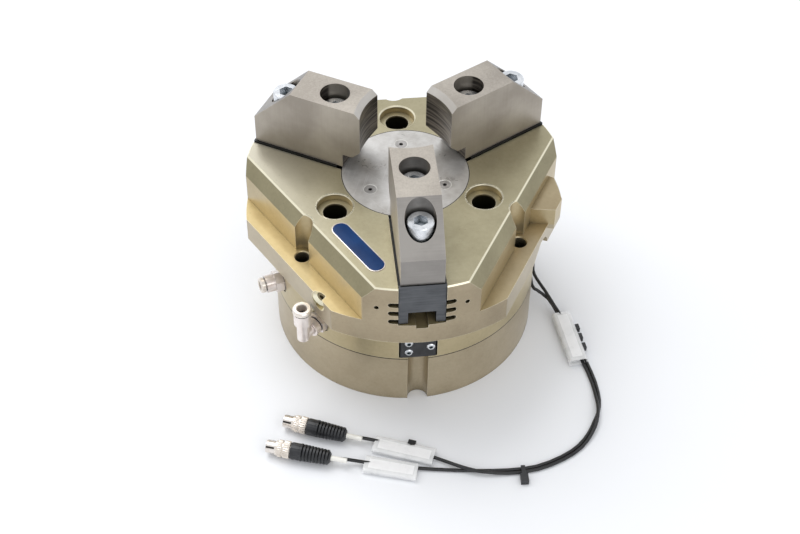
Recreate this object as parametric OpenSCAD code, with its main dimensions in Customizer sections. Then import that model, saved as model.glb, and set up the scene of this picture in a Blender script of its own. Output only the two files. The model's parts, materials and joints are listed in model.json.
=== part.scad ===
// Three-jaw centric gripper.
// A spring-assisted piston carries a wedge hook. Three inclined T-slots in the
// hook drive three base jaws, which slide radially in multi-tooth guides, and
// each base jaw carries a top jaw on two centring sleeves and two screws.
// Frame: +Z up, origin in the middle of the base's underside, jaw 1 towards -Y.
// The modules of one jaw are drawn with +X pointing outwards, then turned.

/* [Housing] */
// Radius of the three arm ends
arm_r = 100.8; // [98:0.1:104]
// Radius of the neck and of the base cylinder
neck_r = 84.8; // [83.5:0.1:87]
// Height of the base cylinder
base_h = 38.5; // [37:0.5:41]
// Height of the neck between base cylinder and arms
neck_h = 33.5; // [32:0.5:36]
// Height of the arms
arm_h = 46; // [44:0.5:49]
// Edge chamfer of the top face
edge_chamfer = 0.8; // [0.4:0.1:1.2]

/* [Flats between the arms] */
// Distance of the top face's straight edge from the axis
flat_top_d = 72.6; // [70:0.1:74]
// Distance of the upright wall from the axis
flat_wall_d = 77.7; // [76:0.1:79]
// Distance of the outer side face from the axis
flat_side_d = 88.8; // [88:0.1:91]
// Height of the steep band under the top edge
band_h = 10; // [7:0.5:12]
// Depth of the ledge under the top face
ledge_drop = 29; // [26:0.5:31]

/* [Mounting] */
// Pitch radius of the through bores for the fastening screws
mount_r = 78; // [77:0.1:79]
// Radius of a through bore
mount_bore_r = 4.5; // [3.5:0.1:5]
// Radius of the screw-head channel above a through bore
channel_r = 7.5; // [6.5:0.1:8]
// Pitch radius of the large threaded bores in the top face
thread_pitch_r = 53; // [50:0.5:56]
// Radius of a large threaded bore
thread_r = 7.5; // [6:0.1:8.5]
// Depth of a large threaded bore
thread_depth = 40; // [30:1:44]
// Radius of the centring counterbore of a large bore
counterbore_r = 11.2; // [10:0.1:12.5]
// Depth of the centring counterbore
counterbore_depth = 5; // [3:0.5:8]
// Radius of a dowel hole in the underside
dowel_hole_r = 4; // [3:0.1:4.5]

/* [Jaws] */
// Stroke of each jaw
jaw_stroke = 12; // [8:0.5:12]
// Jaw travel per millimetre of piston travel
wedge_ratio = 0.6; // [0.6:0.01:0.65]
// Width of a base jaw
base_jaw_w = 28; // [26:0.2:29]
// Height of a base jaw's guided body
base_jaw_h = 31.8; // [30:0.2:33]
// Rise of the base jaws above the top face
jaw_lift = 1.4; // [1:0.1:2]
// Setback of the base jaws from the arm ends
jaw_setback = 1.8; // [1:0.1:4]
// Number of guide teeth on each side
teeth = 3; // [2:1:3]
// Spacing of the guide teeth
tooth_pitch = 7.05; // [6.5:0.05:7.2]
// Thickness of a guide tooth
tooth_t = 3.9; // [3:0.1:4.2]
// Depth of a guide tooth
tooth_depth = 6; // [4:0.1:6.5]
// Width of a top jaw
top_jaw_w = 26; // [24:0.2:27]
// Height of a top jaw
top_jaw_h = 45.6; // [42:0.2:48]
// Radius where the flat top of a top jaw ends
top_jaw_crease_r = 72; // [70:0.5:76]
// Radius of a top jaw's inner corners
top_jaw_inner_r = 25; // [24:0.5:28]
// Radius of the hollow gripping face
grip_r = 40; // [32:1:60]
// Chamfer along the hollow gripping face
grip_chamfer = 3.4; // [2:0.2:4]
// Radius of the step under the gripping end
step_r = 37; // [36:0.5:38.5]
// Height of the step under the gripping end
step_h = 10; // [8:0.5:12]

/* [Jaw screws] */
// Radial place of the inner jaw screw
screw_in_r = 47.5; // [46.5:0.5:49]
// Radial place of the outer jaw screw
screw_out_r = 81.5; // [79:0.5:83]
// Shank radius of a jaw screw
jaw_screw_r = 5; // [4:0.5:5]
// Length of a jaw screw under its head
jaw_screw_len = 40; // [36:1:42]
// Thickness of a top jaw under the screw heads
clamp_t = 25.6; // [22:0.2:27]
// Radius of a counterbore in a top jaw
jaw_bore_r = 9.3; // [9:0.1:10]

/* [Drive] */
// Thickness of the base cylinder's wall, from its bore to the outside
cylinder_wall = 24.8; // [24.6:0.2:28]
// Thickness of the piston
piston_t = 13; // [12:0.5:14]
// Radius of the piston rod
rod_r = 15.6; // [14:0.1:15.8]
// Thickness of the wall between cylinder and hook chamber
wall_t = 8; // [7:0.5:9]
// Height of the wedge hook
hook_h = 34.5; // [34:0.5:36]
// Half width of the neck of a T-tongue
tongue_neck = 5; // [4:0.2:6]
// Half width of the head of a T-tongue
tongue_head = 9; // [8:0.2:9.5]
// Outer radius of a closing spring
spring_r = 15; // [12:0.5:16]
// Wire radius of a closing spring
wire_r = 1.7; // [1.2:0.1:1.7]
// Radius of the centre cover
cover_r = 40; // [39:0.5:40]
// Thickness of the centre cover
cover_t = 5.5; // [5:0.1:6.5]
// Pitch radius of the centre cover's screws
cover_screw_r = 26.7; // [24:0.1:30]

/* [Air and sensors] */
// Direction of the straight fitting, in degrees from +X
straight_az = 196.5; // [195:0.5:200]
// Direction of the elbow fitting, in degrees from +X
elbow_az = 225.5; // [222:0.5:228]
// Height of the elbow's air port above the floor
port_z = 53; // [52:0.5:54]
// Radius of an air port's thread
port_r = 4.8; // [4:0.1:5]
// Radius of the bore for the air hose
hose_r = 3.05; // [2:0.05:3.2]
// Width across the flats of the fittings
fitting_af = 12.3; // [11.1:0.3:12.9]
// Width of a sensor bracket
bracket_w = 22; // [20:0.5:23]
// Height of a sensor bracket
bracket_h = 20; // [18:0.5:22]
// Radius of a sensor barrel
sensor_r = 2.4; // [2:0.1:2.4]
// Diameter of a sensor cable
cable_d = 2.2; // [1.8:0.1:2.3]
// Length of the label
label_l = 46; // [40:1:48]
// Width of the label
label_w = 10; // [8:0.5:11]

/* [Hidden] */

$fn = 72;

// Directions of the jaws and of the flats between them
jaw_az = [-90, 30, 150];
flat_az = [90, 210, 330];
bolt_az = [0, 60, 120, 180, 240, 300];

// Clearances
run = 0.3;        // beside and above what slides
fit = 0.05;       // round a shaft, pin or screw
seat = 0.02;      // between parts that stand face to face

// Levels of the housing
arm_z = base_h + neck_h;
top_z = arm_z + arm_h;
ledge_z = top_z - ledge_drop;
band_z = top_z - band_h;
flat_chamfer = edge_chamfer * 1.2;

// Levels of the jaws
jaw_z = top_z + jaw_lift;               // seat of a top jaw
body_z = jaw_z - base_jaw_h;            // underside of a base jaw's body
tooth_top = 14.9;                       // first tooth's centre below the seat
tooth_tip = base_jaw_w / 2 + tooth_depth;
relief_w = 16.8;                        // channel in a base jaw's underside
relief_h = 9.3;
groove_w = 7.4;                         // groove in the guide's floor
groove_h = 3;
jaw_end = arm_r - jaw_setback;
jaw_start = cover_r + 1;

// Levels of the drive
bore_r = neck_r - cylinder_wall;        // bore of the cylinder
cover_z = top_z - cover_t;
cover_screw = cover_t * 4 / 11;         // M4 in the centre cover
cover_screw_l = 2.6 * cover_t;
hook_top = cover_z - 1;
hook_z = hook_top - hook_h;
piston_stroke = jaw_stroke / wedge_ratio;
wall_top = hook_z - piston_stroke - 1.5;
cylinder_top = wall_top - wall_t;
piston_top = cylinder_top - 0.5;
piston_z = piston_top - piston_t;
piston_bolt_r = rod_r * 5 / 13;         // M12 through the piston into the rod
piston_bolt_l = 5 * piston_bolt_r;
piston_bolt_z = piston_z + piston_t / 2;
seal_z = piston_z + 2;                  // groove of the piston seal
seal_h = 3;
seal_t = 3.4;
guide_ring_z = piston_z + 0.58 * piston_t;
guide_ring_h = 0.27 * piston_t;
guide_ring_t = 2.2;

// T-tongues: the drive face runs outwards as it rises
tongue_top = cover_z - 0.6;
tongue_floor = 2.5;                     // hook material under the T-slots
tongue_z = hook_z + tongue_floor + 0.5;
tongue_r = cover_r;                     // drive face at tongue_top
neck_l = 4;
head_l = 5;
hook_back = tongue_r + 12;              // back of the deep part of a base jaw
guide_w = base_jaw_w + 2 * run;         // guide slot in the housing
arm_w = base_jaw_w - 0.4;               // arms of the wedge hook

// Base cylinder and its underside
liner_r = bore_r + 4;                   // spigot that reaches into the neck
plug_top = 12;                          // top of the bottom cover
cover_flange_r = bore_r + 7;
cover_flange_h = 8;
cover_bolt_r = 1.5;                     // M3 round the bottom cover
cover_bolt_pitch = cover_flange_r - 3.5;
cover_lift = 0.5;                       // cover's face above the floor
bolt_r = 4;                             // M8 between base and housing
bolt_head_r = 6.5;
bolt_head_h = 8;
bolt_pitch = neck_r - 10;
bolt_seat = 10;
bolt_reach = 15;
dowel_r = 3;
dowel_len = 16;
sensor_groove_r = 6.5;                  // groove down the base under each arm

// Springs
spring_pitch_r = bore_r - 24;
spring_turns = 4;
spring_pocket = 6;                      // depth in the bottom cover
spring_cup = 7;                         // depth in the piston
spring_low = plug_top - spring_pocket;
spring_high = piston_z + spring_cup;

// Seals
ring_r = 1.3;                           // cord radius of the O-rings
ring_slot = 2 * ring_r - seat;          // depth of an O-ring's groove
base_seal_z = base_h + 4.5;
cover_seal_z = plug_top - 2.2;
rod_seal_z = (wall_top + cylinder_top) / 2;
rod_seal_w = 3;

// Sensor pockets and brackets
pocket_gap = 1;
bracket_t = 11.5;
bracket_front = neck_r - 0.3;
bracket_back = bracket_front - bracket_t;
bracket_z = base_h + 1.2;
pocket_top = bracket_z + bracket_h + 3;
sensor_t = [-1.55, 3.65];               // places beside the bracket's middle
sensor_at = neck_r - 3.9;
sensor_top = pocket_top + 12;
bracket_screw_r = 1.5;
bracket_screw_at = [[-5.8, 4.6], [-5.8, 12.6], [7.9, 8.6]];

// Ports, fittings and the auxiliary ports in the side faces
port_seat = neck_r - 0.8;               // flat round each air port
port_depth = 13;
straight_z = port_z + 1;                // the straight fitting sits a little higher
hex_l = 6;
sleeve_l = 3.8;
straight_l = 5.7;                       // round body of the straight fitting
straight_tip = port_seat + hex_l + straight_l;
collet_l = 3;                           // depth of the release ring's pocket
collet_r = hose_r + 1.2;
ring_out_r = [5, 5.8];                  // release rings of the straight and the elbow
elbow_at = port_seat + 16;              // radial place of the elbow's upright leg
elbow_low = port_z + 11.4;              // collar of the elbow
elbow_top = elbow_low + 9.1;
elbow_r = [5.6, 3.9, 5.4];              // collar at the hexagon, tubes, upper collar
aux_r = hose_r + 0.25;
aux_az = 230.6;                         // auxiliary port: direction, height, face
aux_z = 84.6;
aux_face_r = 6;
aux_seat = flat_side_d + 3.4;
relief_az = 338;                        // milled relief under the third flat
relief_z = arm_z - 1.5;
relief_r = 12;
relief_seat = flat_side_d - 0.8;
duct_r = 2;
top_duct_at = bore_r - 9;               // duct to the closing side, over the piston
base_duct_at = liner_r + 4;             // duct down beside the cylinder's liner

// Unmachined block on the ledge of the third flat
block_z = arm_z + 12.8;
block_top = ledge_z + 12;
block_out = flat_side_d + 3.5;

// Routes of the two sensor cables, from the sensors to the plugs
cable_z = cable_d / 2 + 0.05;
ROUTE_1 = [
    [70.8, 39.1, 39.6], [71.2, 39.3, 33], [75.2, 40.4, 26], [80.6, 39.4, 21],
    [85.2, 28, 18], [87, 15, 15], [86.6, -5, 12.2], [89.7, -8.1, 10.2],
    [96.6, -13.2, 6.6], [101.5, -24.3, 3.2], [106.1, -46, 2.4], [110.9, -66.6, 1.6],
    [113.6, -84, 1.2], [113.7, -98.6, 2.5], [112.9, -107.8, 3.7], [110.3, -117.2, 3.5],
    [105.6, -125.8, 2.4], [97.2, -135.2, 1.2], [84.9, -142.9, 1.2], [67.5, -149, 1.2],
    [49, -150.3, 1.4], [34.4, -149.2, 3.1], [25.1, -146.6, 3.8], [16.1, -141.6, 3.2],
    [3, -133.2, 1.8], [-12, -126, 2], [-27, -119.6, 2.6], [-38, -117, 4.2],
    [-47.6, -115.2, 5.6]];
ROUTE_2 = [
    [68.3, 43.6, 39.6], [68.8, 43.7, 33], [72.8, 45, 26.6], [79, 46.4, 22.4],
    [86.2, 40, 22], [90.4, 27, 20.4], [90.2, 14, 18.4], [88.6, 4.6, 16.4],
    [90.4, -1.9, 14.3], [94.8, -9.9, 11], [99.5, -20.1, 7.2], [102.1, -25.9, 5.6],
    [108.6, -46, 3.2], [113.2, -66.2, 1.6], [115.9, -84, 1.2], [115.7, -98.8, 1.2],
    [113, -108.6, 1.2], [108.6, -116.6, 1.2], [103.9, -124.4, 1.2], [95.8, -133.4, 1.2],
    [83.9, -140.8, 1.2], [67.1, -146.7, 1.2], [49, -147.8, 1.2], [30, -146.4, 1.2],
    [11.1, -144, 1.2], [-4, -141.6, 1.5], [-21, -138.2, 2], [-38, -134.8, 3],
    [-49, -132.8, 4.6], [-58.4, -131.6, 5.6]];
// Sleeves over the cables: both ends on the floor, width, bottom and top
TAG_1 = [[103.4, -26.2], [107.6, -68.4]];
TAG_2 = [[5, -134.6], [-30.8, -120.8]];
TAG_3 = [[-6.5, -145], [-38.2, -135.4]];
tag_w = 12.4;
tag_z = 0.3;
tag_t = 3.6;
tie_az = -84;
TIE_HEADS = [[111.5, -38.4], [112.1, -46.6], [112.9, -55]];
plug_az = [158.2, 161.5];                 // direction in which each plug points
plug_z = 5.6;                           // axis of the plugs above the floor
plug_r = [4.3, 5.5];                    // body radius at the cable and at the nut
plug_l = 25.4;
nut_r = 5.5;
nut_l = 8;
tip_r = 4;
tip_l = 7.4;

// ---- Helpers -------------------------------------------------------------

// Turns children so that their +X points along a direction
module turned(az) {
    rotate([0, 0, az]) children();
}

// Ring of children on a pitch circle
module around(list, r) {
    for (az = list) turned(az) translate([r, 0, 0]) children();
}

// Outline in the (radius, height) plane, given a width across
module slab(points, w) {
    translate([0, w / 2, 0]) rotate([90, 0, 0]) linear_extrude(w) polygon(points);
}

// Block between two radii, centred across
module block(r0, r1, w, z0, z1) {
    translate([r0, -w / 2, z0]) cube([r1 - r0, w, z1 - z0]);
}

// Upright tube
module tube(outer, inner, z0, z1) {
    translate([0, 0, z0]) difference() {
        cylinder(r = outer, h = z1 - z0);
        translate([0, 0, -1]) cylinder(r = inner, h = z1 - z0 + 2);
    }
}

// Upright bore
module bore(r, z0, z1) {
    translate([0, 0, z0]) cylinder(r = r, h = z1 - z0);
}

// O-ring about the Z axis
module o_ring(mid_r, z) {
    translate([0, 0, z]) rotate_extrude() translate([mid_r, 0]) circle(r = ring_r - seat, $fn = 24);
}

// Socket screw with its seat at z = 0 and its head above
module cap_screw(r, l, head_r, head_h, socket_r) {
    difference() {
        union() {
            translate([0, 0, -l]) cylinder(r = r, h = l);
            cylinder(r = head_r, h = head_h - 0.6);
            translate([0, 0, head_h - 0.6]) cylinder(r1 = head_r, r2 = head_r - 0.6, h = 0.6);
        }
        translate([0, 0, head_h * 0.45]) cylinder(r = socket_r, h = head_h, $fn = 6);
    }
}

// Countersunk hole with its mouth at z = 0
module sink(r) {
    translate([0, 0, -r]) cylinder(r1 = r, r2 = 2 * r + 0.01, h = r + 0.01);
}

// Countersunk screw with its face at z = 0
module flat_screw(r, l) {
    head_r = r * 1.92;
    difference() {
        union() {
            translate([0, 0, -l]) cylinder(r = r, h = l);
            translate([0, 0, r - head_r]) cylinder(r1 = r, r2 = head_r, h = head_r - r);
        }
        translate([0, 0, -r * 0.9]) cylinder(r = r * 0.7, h = r, $fn = 6);
    }
}

function unit(v) = v / norm(v);

function polar(r, az) = [r * cos(az), r * sin(az)];

// Point halfway along a smooth curve between b and c
function halfway(a, b, c, d) = (9 * (b + c) - a - d) / 16;

// Route with one smooth point added in every gap
function refined(p) = [
    for (i = [0 : len(p) - 2]) each [p[i],
        halfway(p[max(i - 1, 0)], p[i], p[i + 1], p[min(i + 2, len(p) - 1)])],
    p[len(p) - 1]];

function tangent(p, i) = unit(p[min(i + 1, len(p) - 1)] - p[max(i - 1, 0)]);

// Corners of one ring across the route
function ring(p, i, r, sides) =
    let (t = tangent(p, i), u = unit(cross(t, [0.5, -0.5, 0.7])), v = cross(t, u))
    [for (k = [0 : sides - 1]) p[i] + r * (cos(360 * k / sides) * u + sin(360 * k / sides) * v)];

// Round cord swept along the points of a route
module cord(p, r, sides) {
    n = len(p);
    points = [for (i = [0 : n - 1]) each ring(p, i, r, sides)];
    walls = [for (i = [0 : n - 2], k = [0 : sides - 1])
        [i * sides + k, i * sides + (k + 1) % sides,
         (i + 1) * sides + (k + 1) % sides, (i + 1) * sides + k]];
    caps = [[for (k = [sides - 1 : -1 : 0]) k], [for (k = [0 : sides - 1]) (n - 1) * sides + k]];
    polyhedron(points, concat(walls, caps), convexity = 10);
}

// ---- Housing -------------------------------------------------------------

// What the milling cutter takes off one flat above the ledge
module flat_cut() {
    slab([[flat_top_d - flat_chamfer, top_z + 1], [flat_top_d - flat_chamfer, top_z],
        [flat_top_d, top_z - flat_chamfer], [flat_wall_d, band_z], [flat_wall_d, ledge_z],
        [arm_r + 5, ledge_z], [arm_r + 5, top_z + 1]], 2 * arm_r);
    block(flat_side_d, arm_r + 5, 2 * arm_r, arm_z - 1, ledge_z + 1);
}

// Channel for the head of a fastening screw and the bore under it
module mount_cut() {
    translate([mount_r, 0, 0]) {
        bore(mount_bore_r, -1, top_z);
        translate([0, 0, ledge_z - 0.6]) cylinder(r1 = mount_bore_r, r2 = mount_bore_r + 0.7, h = 0.7);
        bore(channel_r, ledge_z, top_z + 1);
        translate([0, 0, top_z - edge_chamfer])
            cylinder(r1 = channel_r, r2 = channel_r + edge_chamfer, h = edge_chamfer);
    }
}

// Large threaded bore with its centring counterbore
module thread_cut() {
    translate([thread_pitch_r, 0, 0]) {
        bore(thread_r, top_z - thread_depth, top_z + 1);
        bore(counterbore_r, top_z - counterbore_depth, top_z + 1);
        translate([0, 0, top_z - edge_chamfer])
            cylinder(r1 = counterbore_r, r2 = counterbore_r + edge_chamfer, h = edge_chamfer);
    }
}

// One guide tooth or its groove, rounded at its tips
module tooth(r0, r1, z, extra) {
    h = tooth_t / 2 + extra;
    flank = tooth_tip + extra - h * 0.8;
    translate([r0, 0, z]) rotate([90, 0, 90]) linear_extrude(r1 - r0) {
        polygon([[-flank, h * 0.8], [0, h], [flank, h * 0.8],
            [flank, -h * 0.8], [0, -h], [-flank, -h * 0.8]]);
        for (side = [-1, 1]) translate([side * flank, 0]) circle(r = h * 0.8, $fn = 24);
    }
}

function tooth_z(i) = jaw_z - tooth_top - i * tooth_pitch;

// Multi-tooth guide of one jaw, with the chamber of the wedge hook
module guide_cut() {
    deep = hook_back + jaw_stroke + 1;
    block(0, arm_r + 5, guide_w, body_z - run, top_z + 1);
    block(0, deep, guide_w, tongue_z - 0.5, body_z);
    block(0, drive_r(tongue_z + piston_stroke, -1), guide_w, wall_top, tongue_z);
    block(deep, arm_r + 5, groove_w, body_z - groove_h, body_z);
    for (i = [0 : teeth - 1]) tooth(20, arm_r + 5, tooth_z(i), run);
}

// Sensor pocket in the neck under one arm, with the two sensor holes
module pocket_cut() {
    block(bracket_back - 0.5, neck_r + 2, bracket_w + 2 * pocket_gap, bracket_z - 0.2, pocket_top);
    translate([neck_r, 0, 0]) bore(sensor_groove_r, base_h - 1, bracket_z);
    for (t = sensor_t) translate([sensor_at, t, 0]) bore(sensor_r + fit, bracket_z, sensor_top + 1);
    for (p = bracket_screw_at) translate([0, p[0], bracket_z + p[1]])
        rotate([0, 90, 0]) bore(bracket_screw_r + fit, bracket_back - 7, neck_r);
}

// Round face and threaded bore of an air port
module port_cut(z) {
    translate([0, 0, z]) rotate([0, 90, 0]) {
        bore(port_r + fit, port_seat - port_depth, port_seat + 1);
        bore(fitting_af * 0.66, port_seat, neck_r + 2);
    }
}

// Duct from a port inwards, then down
module duct(r, z0, z1) {
    translate([0, 0, z1]) rotate([0, 90, 0]) bore(duct_r, r - duct_r / 2, port_seat - 5);
    translate([r, 0, 0]) bore(duct_r, z0, z1 + duct_r / 2);
}

// Ducts from the two ports to both sides of the piston
module duct_cuts() {
    turned(straight_az) duct(top_duct_at, cylinder_top - 1, straight_z);
    turned(elbow_az) duct(base_duct_at, base_h - 1, port_z);
}

// Frame of the auxiliary port, with +Z pointing outwards
module aux_frame() {
    turned(aux_az) translate([0, 0, aux_z]) rotate([0, 90, 0]) children();
}

// Auxiliary port in a side face, and the relief under the third flat
module aux_cut() {
    aux_frame() {
        bore(aux_r + fit, aux_seat - 10, aux_seat + 1);
        translate([0, 0, aux_seat - 1.5]) cylinder(r1 = aux_r + fit, r2 = aux_face_r, h = 1.5);
        bore(aux_face_r, aux_seat, arm_r + 5);
    }
    turned(relief_az) translate([0, 0, relief_z]) rotate([0, 90, 0])
        bore(relief_r, relief_seat, arm_r + 5);
}

// Block that the cutter left standing on the third flat
module ledge_block() {
    slope = (flat_wall_d - flat_top_d) / (band_h - edge_chamfer);
    intersection() {
        translate([0, 0, block_z]) linear_extrude(block_top - block_z)
            polygon([[flat_wall_d - 2, 18], [block_out, 24.4], [block_out, 35.5],
                [flat_wall_d + 3, 52], [flat_wall_d - 2, 52]]);
        slab([[flat_wall_d - 3, block_z - 1], [block_out + 1, block_z - 1], [block_out + 1, block_top],
            [flat_wall_d + (band_z - block_top) * slope, block_top],
            [flat_wall_d - 1, band_z + 1 / slope], [flat_wall_d - 3, band_z + 1 / slope]], 140);
    }
}

module arm_solid() {
    translate([0, 0, arm_z]) cylinder(r = arm_r, h = arm_h - edge_chamfer, $fn = 144);
    translate([0, 0, top_z - edge_chamfer])
        cylinder(r1 = arm_r, r2 = arm_r - edge_chamfer, h = edge_chamfer, $fn = 144);
}

module housing() {
    color([0.66, 0.61, 0.49]) difference() {
        union() {
            difference() {
                arm_solid();
                for (az = flat_az) turned(az) flat_cut();
            }
            bore(neck_r, base_h, arm_z + 1);
            turned(flat_az[2]) ledge_block();
        }
        bore(liner_r + fit, base_h - 1, cylinder_top + seat);
        bore(rod_r + fit, cylinder_top - 1, wall_top + 1);
        tube(rod_r + rod_seal_w, rod_r - 1, rod_seal_z - rod_seal_w / 2, rod_seal_z + rod_seal_w / 2);
        bore(cover_r + 0.15, cover_z, top_z + 1);
        for (az = jaw_az) turned(az) {
            guide_cut();
            pocket_cut();
        }
        for (az = flat_az) turned(az) {
            mount_cut();
            thread_cut();
            translate([cover_screw_r, 0, 0]) bore(cover_screw + fit, cover_z - 1.8 * cover_t, cover_z + 1);
        }
        around(bolt_az, bolt_pitch) bore(bolt_r + fit, base_h - 1, base_h + bolt_reach + 1);
        around([15, 195], bolt_pitch) bore(dowel_r + fit, base_h - 1, base_h + dowel_len / 2 + 0.3);
        turned(straight_az) port_cut(straight_z);
        turned(elbow_az) port_cut(port_z);
        duct_cuts();
        aux_cut();
        for (az = jaw_az, side = [-1, 1]) turned(az + side * 15.5) translate([0, 0, top_z - 16.6])
            rotate([0, 90, 0]) bore(1.5, arm_r - 9, arm_r + 1);
    }
}

// ---- Base ----------------------------------------------------------------

module base_cylinder() {
    color([0.64, 0.59, 0.48]) difference() {
        union() {
            bore(neck_r, 0, base_h);
            bore(liner_r, base_h - 1, cylinder_top);
        }
        bore(bore_r, -1, cylinder_top + 1);
        bore(cover_flange_r + fit, -1, cover_flange_h + cover_lift);
        tube(liner_r + 1, liner_r - ring_slot, base_seal_z - ring_r, base_seal_z + ring_r);
        for (az = jaw_az) turned(az) translate([neck_r, 0, 0]) bore(sensor_groove_r, -1, base_h + 1);
        for (az = flat_az) turned(az) translate([mount_r, 0, 0]) bore(mount_bore_r, -1, base_h + 1);
        around(bolt_az, bolt_pitch) {
            bore(bolt_r + 0.4, 0, base_h + 1);
            bore(bolt_head_r + 0.4, -1, bolt_seat);
        }
        around([15, 195], bolt_pitch) bore(dowel_r + fit, base_h - dowel_len / 2 - 0.3, base_h + 1);
        around([105, 285], bolt_pitch) bore(dowel_hole_r, -1, 12);
        around(bolt_az, cover_bolt_pitch) bore(cover_bolt_r + fit, 0, cover_flange_h + 8);
        turned(elbow_az) {
            translate([base_duct_at, 0, 0]) bore(duct_r, plug_top + 3, base_h + 1);
            translate([0, 0, plug_top + 4]) rotate([0, 90, 0]) bore(duct_r, bore_r - 1, base_duct_at);
        }
    }
}

module base_bolts() {
    color([0.55, 0.55, 0.56]) around(bolt_az, bolt_pitch) translate([0, 0, bolt_seat])
        mirror([0, 0, 1]) cap_screw(bolt_r, base_h + bolt_reach - bolt_seat, bolt_head_r, bolt_head_h, 3.4);
}

module dowel_pins() {
    color([0.75, 0.75, 0.76]) around([15, 195], bolt_pitch)
        bore(dowel_r, base_h - dowel_len / 2, base_h + dowel_len / 2);
}

module base_seal() {
    color([0.08, 0.08, 0.08]) o_ring(liner_r - ring_slot / 2 + seat / 2, base_seal_z);
}

module bottom_cover() {
    color([0.62, 0.58, 0.48]) difference() {
        union() {
            bore(cover_flange_r, cover_lift, cover_flange_h + cover_lift - seat);
            bore(bore_r - seat, cover_lift, plug_top);
        }
        around([-90, 30, 150], spring_pitch_r) bore(spring_r + 0.6, spring_low, plug_top + 1);
        tube(bore_r + 1, bore_r - ring_slot, cover_seal_z - ring_r, cover_seal_z + ring_r);
        around(bolt_az, cover_bolt_pitch) {
            bore(cover_bolt_r + fit, -1, cover_flange_h + 2);
            translate([0, 0, cover_lift]) mirror([0, 0, 1]) sink(cover_bolt_r + fit);
        }
    }
}

module bottom_cover_screws() {
    color([0.6, 0.6, 0.61]) around(bolt_az, cover_bolt_pitch)
        translate([0, 0, cover_lift + 0.1]) mirror([0, 0, 1]) flat_screw(cover_bolt_r, cover_flange_h + 6);
}

module bottom_cover_seal() {
    color([0.08, 0.08, 0.08]) o_ring(bore_r - ring_slot / 2 + seat / 2, cover_seal_z);
}

// ---- Drive ---------------------------------------------------------------

module piston() {
    color([0.72, 0.72, 0.74]) difference() {
        bore(bore_r - 0.3, piston_z, piston_top);
        tube(bore_r + 1, bore_r - seal_t, seal_z, seal_z + seal_h);
        tube(bore_r + 1, bore_r - guide_ring_t, guide_ring_z, guide_ring_z + guide_ring_h);
        around([-90, 30, 150], spring_pitch_r) bore(spring_r + 0.6, piston_z - 1, spring_high);
        bore(piston_bolt_r + fit, piston_z - 1, piston_top + 1);
        bore(piston_bolt_r * 1.5 + 0.4, piston_z - 1, piston_bolt_z);
    }
}

module piston_seal() {
    color([0.1, 0.1, 0.1]) tube(bore_r - fit, bore_r - seal_t + fit,
        seal_z + fit, seal_z + seal_h - fit);
}

module piston_guide_ring() {
    color([0.35, 0.2, 0.12]) tube(bore_r - fit, bore_r - guide_ring_t + fit,
        guide_ring_z + fit, guide_ring_z + guide_ring_h - fit);
}

module piston_bolt() {
    color([0.5, 0.5, 0.52]) translate([0, 0, piston_bolt_z]) mirror([0, 0, 1])
        cap_screw(piston_bolt_r, piston_bolt_l, piston_bolt_r * 1.5, piston_bolt_r, piston_bolt_r * 0.83);
}

// Drive face of a tongue at a height, moved inwards by a depth
function drive_r(z, depth) = tongue_r - (tongue_top - z) * wedge_ratio - depth;

// Slanting bar between two depths behind the drive face
module slanted(z0, z1, d0, d1, w) {
    slab([[drive_r(z0, d1), z0], [drive_r(z0, d0), z0], [drive_r(z1, d0), z1], [drive_r(z1, d1), z1]], w);
}

// T-slot of the wedge hook, wider than the tongue by the running gap
module t_slot() {
    z0 = tongue_z - 0.5;
    z1 = hook_top + 1;
    slanted(z0, z1, -2, neck_l + 0.5, 2 * (tongue_neck + run));
    slanted(z0, z1, neck_l - run, neck_l + head_l + run, 2 * (tongue_head + run));
}

arm_turn = atan(arm_w / 2 / tongue_r);

module wedge_hook() {
    color([0.5, 0.5, 0.52]) difference() {
        union() {
            bore(rod_r, piston_top, hook_z + 1);
            translate([0, 0, hook_z]) linear_extrude(hook_h) polygon([for (az = jaw_az) each [
                polar(arm_w / 2 / sin(60), az - 60), polar(norm([tongue_r, arm_w / 2]), az - arm_turn),
                polar(norm([tongue_r, arm_w / 2]), az + arm_turn)]]);
        }
        for (az = jaw_az) turned(az) {
            slab([[drive_r(hook_z - 1, run), hook_z - 1], [tongue_r + 5, hook_z - 1],
                [tongue_r + 5, hook_top + 1], [drive_r(hook_top + 1, run), hook_top + 1]], arm_w + 4);
            t_slot();
        }
        bore(piston_bolt_r + fit, piston_top - 1, piston_bolt_z + piston_bolt_l + 1);
        bore(5, hook_top - 8, hook_top + 1);
    }
}

module rod_seal() {
    color([0.1, 0.1, 0.1]) tube(rod_r + rod_seal_w - seat, rod_r + fit,
        rod_seal_z - rod_seal_w / 2 + seat, rod_seal_z + rod_seal_w / 2 - seat);
}

// Points along the wire of a spring that stands between two levels
function coil(r, z0, z1, turns, steps) = [for (i = [0 : turns * steps])
    [r * cos(360 * i / steps), r * sin(360 * i / steps), z0 + (z1 - z0) * i / (turns * steps)]];

module closing_springs() {
    color([0.55, 0.56, 0.6]) around([-90, 30, 150], spring_pitch_r)
        cord(coil(spring_r - wire_r, spring_low + wire_r + seat, spring_high - wire_r - seat,
            spring_turns, 12), wire_r, 6);
}

module center_cover() {
    color([0.74, 0.73, 0.73]) difference() {
        bore(cover_r, cover_z + seat, top_z);
        for (az = flat_az) turned(az) translate([cover_screw_r, 0, 0]) {
            bore(cover_screw + fit, cover_z - 1, top_z + 1);
            translate([0, 0, top_z]) sink(cover_screw + fit);
        }
    }
}

module center_cover_screws() {
    color([0.82, 0.82, 0.83]) around(flat_az, cover_screw_r)
        translate([0, 0, top_z - 0.15]) flat_screw(cover_screw, cover_screw_l);
}

// ---- Jaws ----------------------------------------------------------------

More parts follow.
